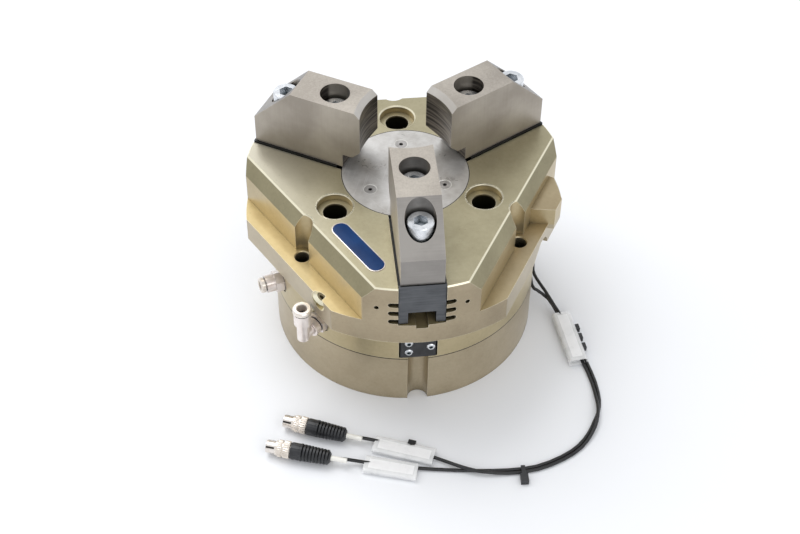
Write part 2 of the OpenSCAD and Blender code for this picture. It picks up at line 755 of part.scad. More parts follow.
module base_jaw() {
    color([0.33, 0.34, 0.36]) difference() {
        union() {
            difference() {
                block(jaw_start, jaw_end, base_jaw_w, body_z, jaw_z);
                block(hook_back, arm_r, relief_w, body_z - 1, body_z + relief_h);
            }
            slab([[drive_r(tongue_z, 0), tongue_z], [hook_back, tongue_z], [hook_back, tongue_top],
                [drive_r(tongue_top, 0), tongue_top]], base_jaw_w);
            for (i = [0 : teeth - 1]) tooth(jaw_start + 2, jaw_end - 2.5, tooth_z(i), 0);
            slanted(tongue_z, tongue_top, -1, neck_l + 1, 2 * tongue_neck);
            slanted(tongue_z, tongue_top, neck_l, neck_l + head_l, 2 * tongue_head);
        }
        block(hook_back, arm_r, relief_w, body_z - 1, body_z + relief_h);
        for (r = [screw_in_r, screw_out_r]) translate([r, 0, 0]) {
            bore(jaw_screw_r + fit, jaw_z + clamp_t - jaw_screw_len - 1, jaw_z + 1);
            bore(sleeve_r + fit, jaw_z - sleeve_h / 2 - 0.1, jaw_z + 1);
        }
    }
}

sleeve_r = jaw_screw_r + 2;
sleeve_h = 6;

module jaw_sleeves() {
    color([0.7, 0.7, 0.71]) for (r = [screw_in_r, screw_out_r]) translate([r, 0, 0])
        tube(sleeve_r, jaw_screw_r + 0.3, jaw_z - sleeve_h / 2, jaw_z + sleeve_h / 2);
}

module jaw_screws() {
    color([0.85, 0.86, 0.87]) for (r = [screw_in_r, screw_out_r]) translate([r, 0, jaw_z + clamp_t])
        cap_screw(jaw_screw_r, jaw_screw_len, jaw_screw_r * 1.6, jaw_screw_r * 2, jaw_screw_r * 0.92);
}

module top_jaw() {
    low = jaw_z + seat;
    high = jaw_z + top_jaw_h;
    end = jaw_end - 1;
    under = jaw_z + step_h;
    lip = 5.5;
    cut_at = top_jaw_inner_r - sqrt(grip_r * grip_r - top_jaw_w * top_jaw_w / 4);
    color([0.6, 0.57, 0.54]) difference() {
        slab([[step_r, low], [end, low], [end, high - (end - top_jaw_crease_r)],
            [top_jaw_crease_r, high], [top_jaw_inner_r - 5, high],
            [top_jaw_inner_r - 5, under + lip + 5], [top_jaw_inner_r + lip, under],
            [step_r, under]], top_jaw_w);
        translate([cut_at, 0, 0]) {
            bore(grip_r, low - 1, high + 1);
            translate([0, 0, high - grip_chamfer])
                cylinder(r1 = grip_r, r2 = grip_r + grip_chamfer + 0.2, h = grip_chamfer + 0.2);
        }
        for (r = [screw_in_r, screw_out_r]) translate([r, 0, 0]) {
            bore(jaw_screw_r + 0.5, low - 1, high + 1);
            bore(jaw_bore_r, jaw_z + clamp_t - seat, high + 1);
            bore(sleeve_r + fit, low - 1, jaw_z + sleeve_h / 2 + 0.1);
        }
    }
}

// ---- Sensors -------------------------------------------------------------

module sensor_bracket() {
    color([0.12, 0.12, 0.13]) difference() {
        union() {
            block(bracket_back, bracket_front, bracket_w, bracket_z, bracket_z + bracket_h);
            block(bracket_back, bracket_front - 4, bracket_w, bracket_z, bracket_z + bracket_h + 2.5);
        }
        for (t = sensor_t) translate([sensor_at, t, 0]) bore(sensor_r + fit, bracket_z - 1, pocket_top + 1);
        for (p = bracket_screw_at) translate([0, p[0], bracket_z + p[1]]) rotate([0, 90, 0]) {
            bore(bracket_screw_r + fit, bracket_back - 1, neck_r);
            bore(2.8, bracket_front - 1.6, neck_r + 1);
        }
    }
}

module bracket_screws() {
    color([0.8, 0.8, 0.8]) for (az = [jaw_az[0], jaw_az[1]]) turned(az)
        for (p = bracket_screw_at) translate([bracket_front - 1.6, p[0], bracket_z + p[1]])
            rotate([0, 90, 0]) cap_screw(bracket_screw_r, bracket_t + 4, 2.6, 2.2, 1.4);
}

module sensor(t) {
    color([0.75, 0.74, 0.7]) turned(jaw_az[1]) translate([sensor_at, t, 0])
        bore(sensor_r, bracket_z, sensor_top);
}

module port_plug() {
    color([0.8, 0.8, 0.8]) aux_frame() difference() {
        bore(aux_r, aux_seat - 2.4 * aux_r, aux_seat - 0.4 * aux_r);
        translate([0, 0, aux_seat - 1.2 * aux_r]) cylinder(r = aux_r * 0.55, h = aux_r, $fn = 6);
    }
}

// ---- Air fittings --------------------------------------------------------

module straight_fitting() {
    color([0.8, 0.76, 0.72]) turned(straight_az) translate([0, 0, straight_z]) rotate([0, 90, 0])
        difference() {
            union() {
                bore(port_r, port_seat - 8, port_seat + 1);
                translate([0, 0, port_seat + seat]) cylinder(r = fitting_af / sqrt(3), h = hex_l, $fn = 6);
                bore(fitting_af * 0.46, port_seat + hex_l - 1, straight_tip);
            }
            bore(collet_r, straight_tip - collet_l, straight_tip + 1);
            bore(hose_r, port_seat + 2, straight_tip);
            bore(duct_r, port_seat - 9, port_seat + 3);
        }
}

// Release ring of a push-in fitting, pointing along +Z from its seat
module release_ring(r) {
    difference() {
        union() {
            bore(collet_r - fit, 1.2 - collet_l, 1.1);
            translate([0, 0, 1]) cylinder(r = r, h = sleeve_l - 1.8);
            translate([0, 0, sleeve_l - 0.8]) cylinder(r1 = r, r2 = r - 0.6, h = 0.8);
        }
        bore(hose_r + fit, -collet_l, sleeve_l + 1);
        translate([0, 0, sleeve_l - 0.4]) cylinder(r1 = hose_r + fit, r2 = hose_r + 0.6, h = 0.5);
    }
}

module straight_release_ring() {
    color([0.7, 0.68, 0.66]) turned(straight_az)
        translate([straight_tip, 0, straight_z]) rotate([0, 90, 0]) release_ring(ring_out_r[0]);
}

module elbow_stem() {
    color([0.72, 0.7, 0.68]) turned(elbow_az) translate([0, 0, port_z]) rotate([0, 90, 0])
        difference() {
            union() {
                bore(port_r, port_seat - 8, port_seat + 1);
                translate([0, 0, port_seat + seat]) cylinder(r = fitting_af / sqrt(3), h = 4.6, $fn = 6);
                bore(elbow_r[1] - 1.1, port_seat + 4, elbow_at - 3);
            }
            bore(duct_r, port_seat - 9, elbow_at - 2);
        }
}

module elbow_body() {
    color([0.82, 0.77, 0.73]) turned(elbow_az) difference() {
        union() {
            translate([0, 0, port_z]) rotate([0, 90, 0]) {
                bore(elbow_r[0], port_seat + 5.4, port_seat + 9.4);
                bore(elbow_r[1] - 0.1, port_seat + 9, elbow_at);
            }
            translate([elbow_at, 0, 0]) {
                translate([0, 0, port_z - elbow_r[1]])
                    cylinder(r1 = elbow_r[1] - 1.3, r2 = elbow_r[1], h = 1.3);
                bore(elbow_r[1], port_z - elbow_r[1] + 1.3, elbow_low);
                translate([0, 0, elbow_low - 0.9]) cylinder(r1 = elbow_r[1], r2 = elbow_r[2], h = 0.9);
                bore(elbow_r[2], elbow_low, elbow_top);
            }
        }
        translate([0, 0, port_z]) rotate([0, 90, 0]) bore(elbow_r[1] - 1.1 + fit, port_seat, elbow_at - 2.9);
        translate([0, 0, port_z]) rotate([0, 90, 0]) bore(duct_r - 0.1, elbow_at - 4, elbow_at + 0.5);
        translate([elbow_at, 0, 0]) {
            bore(duct_r, port_z - 1, elbow_low + 1);
            bore(hose_r, elbow_low, elbow_top + 1);
            bore(collet_r, elbow_top - collet_l, elbow_top + 1);
        }
    }
}

module elbow_release_ring() {
    color([0.75, 0.73, 0.7]) turned(elbow_az) translate([elbow_at, 0, elbow_top]) release_ring(ring_out_r[1]);
}

module label() {
    color([0.12, 0.25, 0.5]) turned(flat_az[1]) translate([flat_top_d - 11.4, 0.8 * label_l + 0.2, top_z + seat])
        linear_extrude(0.4) {
        square([label_w, label_l - label_w], center = true);
        for (side = [-1, 1]) translate([0, side * (label_l - label_w) / 2]) circle(d = label_w);
    }
}

// ---- Cables --------------------------------------------------------------

module sensor_cable(route) {
    color([0.07, 0.07, 0.07]) cord(refined(route), cable_d / 2, 8);
}

// Flat sleeve laid over a cable, between two points on the floor
module tag(ends, z, t) {
    d = ends[1] - ends[0];
    color([0.93, 0.93, 0.92]) translate([ends[0][0], ends[0][1], z]) rotate([0, 0, atan2(d[1], d[0])])
        translate([0, -tag_w / 2, 0]) cube([norm(d), tag_w, t]);
}

// Cable tie: band of a length with its head, standing across a cable
module tie(at, az, w, head) {
    translate([at[0], at[1], 0.05]) rotate([0, 0, az]) {
        translate([-1.3, -w / 2, 0]) cube([2.6, w, 3]);
        translate([-2.4, -w / 2 - head, 0.2]) cube([4.8, head, 3.4]);
    }
}

module cable_ties() {
    color([0.06, 0.06, 0.06]) {
        tie([58.4, -149.4], -2, 6.2, 6.4);
        tie([-9.4, -127.4], 158, 4.4, 4.6);
        for (at = TIE_HEADS) translate([at[0], at[1], 1.2]) rotate([0, 0, tie_az])
            translate([-2.2, -1.6, 0]) cube([4.4, 3.6, 3.6]);
    }
}

// Points along a plug's axis from the cable end
module plug_frame(i) {
    route = i == 0 ? ROUTE_1 : ROUTE_2;
    end = route[len(route) - 1];
    translate([end[0], end[1], plug_z]) rotate([0, 0, plug_az[i]]) rotate([0, 90, 0]) children();
}

module plug_body(i) {
    color([0.05, 0.05, 0.05]) plug_frame(i) difference() {
        union() {
            translate([0, 0, seat]) cylinder(r1 = plug_r[0], r2 = plug_r[1], h = plug_l);
            for (k = [0 : 7]) translate([0, 0, 1.4 + k * 2])
                cylinder(r = plug_r[0] + 0.4 + k * 0.07, h = 1);
        }
        bore(tip_r + fit, plug_l - 3, plug_l + 2);
    }
}

module plug_nut(i) {
    color([0.78, 0.74, 0.66]) plug_frame(i) difference() {
        union() {
            translate([0, 0, plug_l + 0.3]) cylinder(r = nut_r, h = nut_l);
            translate([0, 0, plug_l + 0.3 + nut_l]) cylinder(r = nut_r - 0.6, h = 1.2);
        }
        bore(tip_r + fit, plug_l - 1, plug_l + nut_l + 4);
    }
}

module plug_tip(i) {
    color([0.8, 0.77, 0.7]) plug_frame(i) difference() {
        bore(tip_r, plug_l - 3 + seat, plug_l + nut_l + tip_l);
        bore(3, plug_l + nut_l + 1, plug_l + nut_l + tip_l + 1);
        for (a = [0 : 90 : 270]) rotate([0, 0, a + 45])
            translate([tip_r - 0.5, -0.6, plug_l + nut_l + 2]) cube([2, 1.2, tip_l]);
    }
}

module marker_sleeves() {
    color([0.93, 0.92, 0.88]) for (i = [0, 1]) plug_frame(i)
        translate([0, 0, -10]) cylinder(r = 1.6, h = 10 - seat);
}

// ---- Assembly ------------------------------------------------------------

housing();
base_cylinder();
base_bolts();
dowel_pins();
base_seal();
bottom_cover();
bottom_cover_screws();
bottom_cover_seal();
piston();
piston_seal();
piston_guide_ring();
piston_bolt();
wedge_hook();
rod_seal();
closing_springs();
center_cover();
center_cover_screws();
for (i = [0 : 2]) {
    turned(jaw_az[i]) base_jaw();
    turned(jaw_az[i]) top_jaw();
    turned(jaw_az[i]) jaw_sleeves();
    turned(jaw_az[i]) jaw_screws();
}
turned(jaw_az[0]) sensor_bracket();  // sensor_bracket_front
turned(jaw_az[1]) sensor_bracket();  // sensor_bracket_rear
bracket_screws();
sensor(sensor_t[0]);  // sensor_1
sensor(sensor_t[1]);  // sensor_2
port_plug();
straight_fitting();
straight_release_ring();
elbow_stem();
elbow_body();
elbow_release_ring();
label();
sensor_cable(ROUTE_1);  // sensor_cable_1
sensor_cable(ROUTE_2);  // sensor_cable_2
tag(TAG_1, 3 * tag_z, 1.6 * tag_t);  // cable_tag_1
tag(TAG_2, tag_z, tag_t);  // cable_tag_2
tag(TAG_3, tag_z, tag_t);  // cable_tag_3
cable_ties();
marker_sleeves();
for (i = [0 : 1]) {
    plug_body(i);
    plug_nut(i);
    plug_tip(i);
}
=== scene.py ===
# %% [markdown]
# # A three-jaw gripper, dressed for a studio picture
# The solid model arrives as a fixed frame of plain pieces. This lesson adds what a
# solid model lacks: finishes with a grain, ribs and knurls, frosted sleeves, loose
# cables and soft light. Each step tells what the piece is on the real gripper, how
# it could be made, and why it is made this way.

# %% Load the frame
import json
import math

import bmesh
import bpy
from mathutils import Matrix, Vector


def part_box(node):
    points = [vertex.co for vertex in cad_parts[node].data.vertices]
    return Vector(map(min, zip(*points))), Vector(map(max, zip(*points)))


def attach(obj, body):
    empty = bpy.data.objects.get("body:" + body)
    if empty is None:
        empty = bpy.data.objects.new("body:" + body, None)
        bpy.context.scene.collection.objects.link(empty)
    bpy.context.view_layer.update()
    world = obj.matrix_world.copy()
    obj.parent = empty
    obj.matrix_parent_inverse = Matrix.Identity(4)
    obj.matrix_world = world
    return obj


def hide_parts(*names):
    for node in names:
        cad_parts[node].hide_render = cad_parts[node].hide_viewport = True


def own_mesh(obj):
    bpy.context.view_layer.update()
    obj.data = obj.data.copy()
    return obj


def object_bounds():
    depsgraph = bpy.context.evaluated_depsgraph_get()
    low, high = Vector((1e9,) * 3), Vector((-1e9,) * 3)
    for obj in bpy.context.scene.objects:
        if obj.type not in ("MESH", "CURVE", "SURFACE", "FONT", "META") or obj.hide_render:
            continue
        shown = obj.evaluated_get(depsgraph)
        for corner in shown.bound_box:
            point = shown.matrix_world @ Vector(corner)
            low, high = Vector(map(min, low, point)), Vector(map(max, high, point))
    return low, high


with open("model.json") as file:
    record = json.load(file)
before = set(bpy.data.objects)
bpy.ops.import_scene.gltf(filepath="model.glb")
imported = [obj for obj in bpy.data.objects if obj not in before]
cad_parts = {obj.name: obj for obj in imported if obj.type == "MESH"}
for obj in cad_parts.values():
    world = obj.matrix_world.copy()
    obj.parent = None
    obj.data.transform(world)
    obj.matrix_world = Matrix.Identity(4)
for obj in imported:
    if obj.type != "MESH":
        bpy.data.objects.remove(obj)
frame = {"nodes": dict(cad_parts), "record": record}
solid_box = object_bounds()
MM = 0.001
UP = Vector((0, 0, 1))
print("frame loaded with", len(frame["nodes"]), "nodes")

# %% [markdown]
# ## Camera
# A product picture is taken from the front, well above the table. A camera can be
# placed by hand and tracked to a target, but an orbit round an aim point keeps its
# direction, distance and roll apart, so each of them is set by one number.

# %% Camera
AIM_POINT = Vector((-11.35, -79.5, 116.0)) * MM
CAMERA_TURN, CAMERA_HEIGHT, CAMERA_ROLL = map(math.radians, (-6.172, 45.994, 0.581))
CAMERA_DISTANCE = 876.7 * MM
CAMERA_LENS = 67.21

level_reach = math.cos(CAMERA_HEIGHT)
back = Vector((math.sin(CAMERA_TURN) * level_reach, -math.cos(CAMERA_TURN) * level_reach,
               math.sin(CAMERA_HEIGHT)))
right = (-back).cross(UP).normalized()
upward = back.cross(right)
right, upward = (right * math.cos(CAMERA_ROLL) + upward * math.sin(CAMERA_ROLL),
                 upward * math.cos(CAMERA_ROLL) - right * math.sin(CAMERA_ROLL))
camera_data = bpy.data.cameras.new("studio_camera")
camera_data.lens = CAMERA_LENS
camera_data.clip_start, camera_data.clip_end = 0.01, 20
camera = bpy.data.objects.new("studio_camera", camera_data)
bpy.context.scene.collection.objects.link(camera)
camera.matrix_world = Matrix.Translation(AIM_POINT + back * CAMERA_DISTANCE) @ Matrix(
    (right, upward, back)).transposed().to_4x4()
bpy.context.scene.camera = camera
print("camera at", [round(x, 3) for x in camera.matrix_world.translation])

# %% [markdown]
# ## Sensor cables
# Two thin cables leave the sensors behind the gripper, cross under a tie and end in
# screw plugs. Cloth or rope simulation would let them fall by themselves, but each
# run would land elsewhere. Points along the way fix the route and the length.

# %% Cable routes, in millimetres
CABLE_ROUTES = (
    ((70.8, 39.1, 39.6), (71.2, 39.3, 33), (75.2, 40.4, 26), (80.6, 39.4, 21),
     (85.2, 28, 18), (87, 15, 15), (86.6, -5, 12.2), (89.7, -8.1, 10.2),
     (96.6, -13.2, 6.6), (101.5, -24.3, 3.2), (106.1, -46, 2.4), (110.9, -66.6, 1.6),
     (113.6, -84, 1.2), (113.7, -98.6, 2.5), (112.9, -107.8, 3.7), (110.3, -117.2, 3.5),
     (105.6, -125.8, 2.4), (97.2, -135.2, 1.2), (84.9, -142.9, 1.2), (67.5, -149, 1.2),
     (49, -150.3, 1.4), (34.4, -149.2, 3.1), (25.1, -146.6, 3.8), (16.1, -141.6, 3.2),
     (3, -133.2, 1.8), (-12, -126, 2), (-27, -119.6, 2.6), (-38, -117, 4.2),
     (-47.6, -115.2, 5.6)),
    ((68.3, 43.6, 39.6), (68.8, 43.7, 33), (72.8, 45, 26.6), (79, 46.4, 22.4),
     (86.2, 40, 22), (90.4, 27, 20.4), (90.2, 14, 18.4), (88.6, 4.6, 16.4),
     (90.4, -1.9, 14.3), (94.8, -9.9, 11), (99.5, -20.1, 7.2), (102.1, -25.9, 5.6),
     (108.6, -46, 3.2), (113.2, -66.2, 1.6), (115.9, -84, 1.2), (115.7, -98.8, 1.2),
     (113, -108.6, 1.2), (108.6, -116.6, 1.2), (103.9, -124.4, 1.2), (95.8, -133.4, 1.2),
     (83.9, -140.8, 1.2), (67.1, -146.7, 1.2), (49, -147.8, 1.2), (30, -146.4, 1.2),
     (11.1, -144, 1.2), (-4, -141.6, 1.5), (-21, -138.2, 2), (-38, -134.8, 3),
     (-49, -132.8, 4.6), (-58.4, -131.6, 5.6)))
CABLE_DIAMETER = 2.2 * MM
print("routes with", [len(route) for route in CABLE_ROUTES], "points")


# %% A smooth point in every gap
def halfway(a, b, c, d):
    """Point halfway along a smooth curve between b and c."""
    return (9 * (b + c) - a - d) / 16


def refined(points):
    """The route with one smooth point added in every gap."""
    last = len(points) - 1
    result = []
    for i in range(last):
        result += [points[i], halfway(points[max(i - 1, 0)], points[i],
                                      points[i + 1], points[min(i + 2, last)])]
    return result + [points[last]]


print("first route grows to", len(refined([Vector(p) for p in CABLE_ROUTES[0]])), "points")

# %% [markdown]
# ## Round cables
# A round skin could be swept along the points by hand. A curve with a bevel does it
# in one setting and keeps the cable's thickness wherever it bends: the bevel depth
# is one metre, and the radius at each point scales it down to the cable.

# %% Cables
def new_object(name, data, finish=None, body="gripper_body"):
    """Links a piece into the scene and lets it ride on a body."""
    piece = bpy.data.objects.new(name, data)
    bpy.context.scene.collection.objects.link(piece)
    if finish:
        data.materials.append(finish)
    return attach(piece, body) or piece


def cable(name, route):
    """A round cable along a route, its points and its length."""
    points = refined([Vector(p) * MM for p in route])
    length = sum((b - a).length for a, b in zip(points, points[1:]))
    curve = bpy.data.curves.new(name, "CURVE")
    curve.dimensions = "3D"
    curve.bevel_depth = 1.0
    curve.bevel_resolution = 4
    spline = curve.splines.new("POLY")
    spline.points.add(len(points) - 1)
    for place, point in zip(spline.points, points):
        place.co, place.radius = (*point, 1), CABLE_DIAMETER / 2
    return new_object(name, curve), points, length


cables = []
for number, route in enumerate(CABLE_ROUTES, 1):
    piece, points, length = cable(f"cable_{number}", route)
    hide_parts(f"sensor_cable_{number}")
    cables.append((piece, points, length))
    print(piece.name, "is", round(length, 4), "m long")

# %% [markdown]
# ## Shader arithmetic
# A finish is a tree of nodes. The nodes could be placed and wired one by one, which
# is slow to read. Here a small class wraps a node's output, and its operators add
# Math nodes, so a mask reads like a formula: 1 - mask adds a Subtract node.

# %% A node output that takes part in arithmetic
class Field:
    """The output of a shader node, as a number in an expression."""

    def __init__(self, finish, socket):
        self.finish, self.socket = finish, socket

    def math(self, operation, *others):
        """One step of arithmetic with this number first."""
        return self.finish.node("ShaderNodeMath", {"operation": operation}, self, *others)

    def __add__(self, other):
        return self.math("ADD", other)

    def __sub__(self, other):
        return self.math("SUBTRACT", other)

    def __rsub__(self, other):
        return self.finish.node("ShaderNodeMath", {"operation": "SUBTRACT"}, other, self)

    def __mul__(self, other):
        return self.math("MULTIPLY", other)

    def __neg__(self):
        return self * -1

    __radd__, __rmul__ = __add__, __mul__

    def top(self, other):
        """The larger of the two."""
        return self.math("MAXIMUM", other)

    def limit(self, low, high):
        """0 below low, 1 above high and a ramp between."""
        return self.finish.node("ShaderNodeMapRange", {}, self, low, high, 0.0, 1.0)

    def below(self, low, high):
        """1 below low, 0 above high and a ramp between."""
        return 1 - self.limit(low, high)

    def window(self, low, full, fading, gone):
        """Rises to 1 between low and full, and falls to 0 between fading and gone."""
        return self.limit(low, full) * self.below(fading, gone)


print("a field can", [name for name in vars(Field) if not name.startswith("_")])

# %% [markdown]
# ## Finishes
# A finish holds one material. All nodes but the shader itself come from its node
# method: it takes the kind of node, its settings, and then the values or links of
# its inputs. Vectors go through Vector Math and colours through Mix, since a Math
# node would turn a colour grey. Lengths are given in millimetres.

# %% A material and the methods that build it
class Finish:
    """A material and its node tree. Every added node comes from its node method."""

    def __init__(self, name, **values):
        self.material = bpy.data.materials.new(name)
        self.material.use_nodes = True
        self.tree = self.material.node_tree
        self.shader = self.tree.nodes["Principled BSDF"]
        self.set(**values)

    def plug(self, socket, value):
        """Links a field to a socket, or writes a constant there."""
        if isinstance(value, Field):
            self.tree.links.new(value.socket, socket)
        elif value is not None:
            if isinstance(value, tuple) and len(value) == 3 and len(getattr(
                    socket, "default_value", ())) == 4:
                value = (*value, 1)
            socket.default_value = value

    def set(self, **values):
        """Sets inputs of the shader by their names."""
        for name, value in values.items():
            title = name.replace("_", " ").title().replace("Ior", "IOR")
            self.plug(self.shader.inputs[title], value)

    def node(self, kind, settings, *values, out=0, **named):
        """Adds a node: its kind, its settings, then values or links of its inputs."""
        node = self.tree.nodes.new(kind)
        for name, value in settings.items():
            setattr(node, name, value)
        for place, value in enumerate(values):
            self.plug(node.inputs[place], value)
        for name, value in named.items():
            self.plug(node.inputs[name.replace("_", " ").title()], value)
        return Field(self, node.outputs[out])

    def vector(self, operation, *values, out=0):
        """One step of vector arithmetic."""
        return self.node("ShaderNodeVectorMath", {"operation": operation}, *values, out=out)

    def along(self, vector, direction):
        """How far a vector reaches in a direction."""
        return self.vector("DOT_PRODUCT", vector, direction, out="Value")

    def axis(self, vector, which):
        """The X, Y or Z part of a vector."""
        return self.node("ShaderNodeSeparateXYZ", {}, vector, out=which)

    def place(self):
        """The piece's own coordinates in metres, which stay with it when it moves."""
        return self.node("ShaderNodeTexCoord", {}, out="Object")

    def facing(self):
        """The direction that the surface faces."""
        return self.node("ShaderNodeNewGeometry", {}, out="Normal")

    def level(self, which):
        """One of the piece's own coordinates, in millimetres."""
        return self.axis(self.place(), which) * (1 / MM)

    def turned(self, degrees, stretch=(1, 1, 1), move=(0, 0, 0)):
        """Coordinates turned about the upright axis, moved, then stretched."""
        flat = self.node("ShaderNodeVectorRotate", {"rotation_type": "Z_AXIS"}, self.place(),
                         Angle=-math.radians(degrees))
        return self.vector("MULTIPLY", self.vector("SUBTRACT", flat, move), stretch)

    def noise(self, scale, detail=3.0, rough=0.55, where=None):
        """Cloudy numbers between 0 and 1."""
        return self.node("ShaderNodeTexNoise", {}, where or self.place(), Scale=scale,
                         Detail=detail, Roughness=rough)

    def mix(self, mask, a, b):
        """Colour a where the mask is 0, colour b where it is 1."""
        return self.node("ShaderNodeMix", {"data_type": "RGBA"}, mask, *[None] * 5, a, b, out=2)

    def layers(self, color, *rows):
        """Lays tones over a colour in order, each where its own mask is 1."""
        for mask, tone in rows:
            color = self.mix(mask, color, tone)
        return color

    def bump(self, height, strength, depth):
        """Tilts the surface by a height field, with its depth in millimetres."""
        self.set(normal=self.node("ShaderNodeBump", {}, Height=height, Strength=strength,
                                  Distance=depth * MM))


print("a finish can", [name for name in vars(Finish) if not name.startswith("_")])


# %% Tones
def shade(red, green, blue):
    """A colour as seen on a screen, 0 to 255, in the renderer's linear light."""
    return tuple(((c / 255 + 0.055) / 1.055) ** 2.4 if c > 10 else c / 3295
                 for c in (red, green, blue))


def speckled(finish, dark, light, scale):
    """Slow and fine colour variation between two tones."""
    slow = finish.noise(scale)
    fine = finish.noise(scale * 14, 2.0)
    return finish.mix((slow * 0.7 + fine * 0.3).limit(0.25, 0.75), dark, light)


print("mid grey is", [round(c, 3) for c in shade(128, 128, 128)])

# %% [markdown]
# ## Masks from the shape itself
# Worn edges with a painted highlight and bores in painted shade could be painted by
# hand on an unwrapped surface. Two nodes find them without that. The Bevel node gives
# the direction that a rounded edge would face, so where it differs from the flat face
# there is an edge. Ambient Occlusion tells how much of the sky a point sees, so bores
# and slots stand out.

# %% Edges, hollows and specks
# Pale edges along this mask are partly wear and partly painted highlight.
def edges(finish, width):
    """1 along sharp edges, 0 on open faces."""
    rounded = finish.node("ShaderNodeBevel", {"samples": 6}, Radius=width * MM)
    return (1 - finish.along(rounded, finish.facing())).limit(0.02, 0.14)


# Painted shade is laid where this mask is high.
def hollows(finish, reach):
    """1 deep inside bores, slots and sockets, 0 in the open."""
    return 1 - finish.node("ShaderNodeAmbientOcclusion", {"samples": 6}, Distance=reach * MM,
                           out="AO")


def pits(finish, amount):
    """Rare, tiny dark specks."""
    return finish.noise(900, 1.0).limit(0.72, 0.77) * amount


print("masks of the shape ready")


# %% Distances, in millimetres
THREE_WAYS = 90, 210, 330


def heading(degrees):
    """Level direction at an angle from the X axis."""
    return Vector((math.cos(math.radians(degrees)), math.sin(math.radians(degrees)), 0))


def from_axis(finish):
    """Distance from the gripper's upright axis."""
    flat = finish.vector("MULTIPLY", finish.place(), (1, 1, 0))
    return finish.vector("LENGTH", flat, out="Value") * (1 / MM)


def from_line(finish, point, direction):
    """Distance from a straight line through a point."""
    offset = finish.vector("SUBTRACT", finish.place(), tuple(point * MM))
    across = finish.vector("CROSS_PRODUCT", offset, tuple(direction))
    return finish.vector("LENGTH", across, out="Value") * (1 / MM)


print("three ways round:", [tuple(round(x, 2) for x in heading(way)) for way in THREE_WAYS])

# %% [markdown]
# ## Zones of the housing
# The housing is one block, but several tools cut it: the top is faced, the ledges
# and long chamfers are milled, the arm ends and the neck are turned, and the three
# large bores are threaded. Separate materials on picked faces would do. Masks from
# the height and the distance to the axis need no picking and stay with the shape.
# Some zones also carry painted light and shade: the left of the top is lighter, the
# right ledges and the sloping band near the top are darker, the neck is lighter, the
# port's seat has a painted highlight and the three bores have painted shade.

# %% Tones and levels of the zones
TOP_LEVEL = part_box("housing")[1].z / MM
NECK_TOP, BASE_TOP = 71.7, 38.5
ARM_RADIUS = 100.8
EDGE_AND_HIGHLIGHT_TONE = shade(250, 244, 218)
LIT_LEFT_TOP_TONE = shade(206, 202, 190)
END_TONES = shade(150, 136, 112), shade(174, 160, 134)
LEDGE_TONES = shade(180, 162, 118), shade(204, 186, 142)
SHADED_RIGHT_LEDGE_TONES = shade(158, 142, 112), shade(180, 165, 134)
SIDE_TONES = shade(168, 156, 132), shade(188, 176, 152)
BAND_SHADE_TONES = shade(134, 126, 98), shade(158, 150, 120)
NECK_LIGHT_TONES = shade(172, 158, 124), shade(196, 182, 146)
print("top of the housing at", round(TOP_LEVEL, 2), "mm")


# %% Seat of the auxiliary port with its painted highlight, and threaded bores with painted shade
PORT_TURN, PORT_LEVEL, PORT_RADIUS, PORT_START = 230.6, 84.6, 6.1, 89
THREAD_PITCH, THREAD_RADIUS, THREAD_DEPTH = 53, 8.2, 6.6


def port_seat_highlight(finish):
    """The spot-faced seat of the auxiliary port, where a painted highlight goes."""
    out = heading(PORT_TURN)
    near = from_line(finish, UP * PORT_LEVEL, out).below(PORT_RADIUS, PORT_RADIUS + 0.2)
    upright = finish.axis(finish.facing(), "Z").below(0.85, 0.9)
    outer = (finish.along(finish.place(), tuple(out)) * (1 / MM)).limit(
        PORT_START, PORT_START + 0.5)
    return near * upright * outer


def bore_shade(finish):
    """1 on the threads of the three large bores, which are painted dark as shade."""
    mask = 0
    for way in THREE_WAYS:
        away = from_line(finish, heading(way) * THREAD_PITCH, UP)
        mask = away.below(THREAD_RADIUS, THREAD_RADIUS + 0.2).top(mask)
    return mask * finish.level("Z").below(TOP_LEVEL - THREAD_DEPTH, TOP_LEVEL - THREAD_DEPTH + 1.2)


print("bores at", THREAD_PITCH, "mm from the axis")


# %% Zones
def housing_zones(finish, color, up, slope):
    """The housing's colour, with the tone of each cut and some painted light and shade laid over
    it.
    """
    height, sideways = finish.level("Z"), finish.level("X")
    # Painted shade: the ledges on the right are painted darker and browner than those on the left.
    ledge_tone = finish.mix(sideways.limit(0, 60), speckled(finish, *LEDGE_TONES, 26),
                            speckled(finish, *SHADED_RIGHT_LEDGE_TONES, 26))
    skirt = height.below(TOP_LEVEL - 30, TOP_LEVEL - 29.4) * (1 - up)
    arm_end = from_axis(finish).limit(ARM_RADIUS - 0.6, ARM_RADIUS - 0.3) * (1 - up)
    # Painted shade: the sloping band near the top is painted darker, in place of the darker room
    # it reflects.
    band = slope.window(0.2, 0.3, 0.6, 0.66) * height.limit(TOP_LEVEL - 11, TOP_LEVEL - 10.5)
    # Painted light: the left of the top face is painted lighter and greyer, in place of the
    # brighter reflection it shows.
    painted_light_left_top = up * (-sideways).limit(40, 90) * 0.6 * height.limit(TOP_LEVEL - 2, TOP_LEVEL - 1)
    # Painted light: the neck under the arms is painted a little lighter, against the shadow that
    # the arms cast on it.
    return finish.layers(
        color,
        (up * height.below(TOP_LEVEL - 15, TOP_LEVEL - 14), ledge_tone),
        (painted_light_left_top, LIT_LEFT_TOP_TONE),
        (skirt, speckled(finish, *SIDE_TONES, 38)),
        (arm_end, speckled(finish, *END_TONES, 38)),
        (port_seat_highlight(finish), EDGE_AND_HIGHLIGHT_TONE),
        (band, speckled(finish, *BAND_SHADE_TONES, 38)),
        (height.below(NECK_TOP - 0.2, NECK_TOP), speckled(finish, *NECK_LIGHT_TONES, 38)))


print("neck ends at", NECK_TOP, "mm")

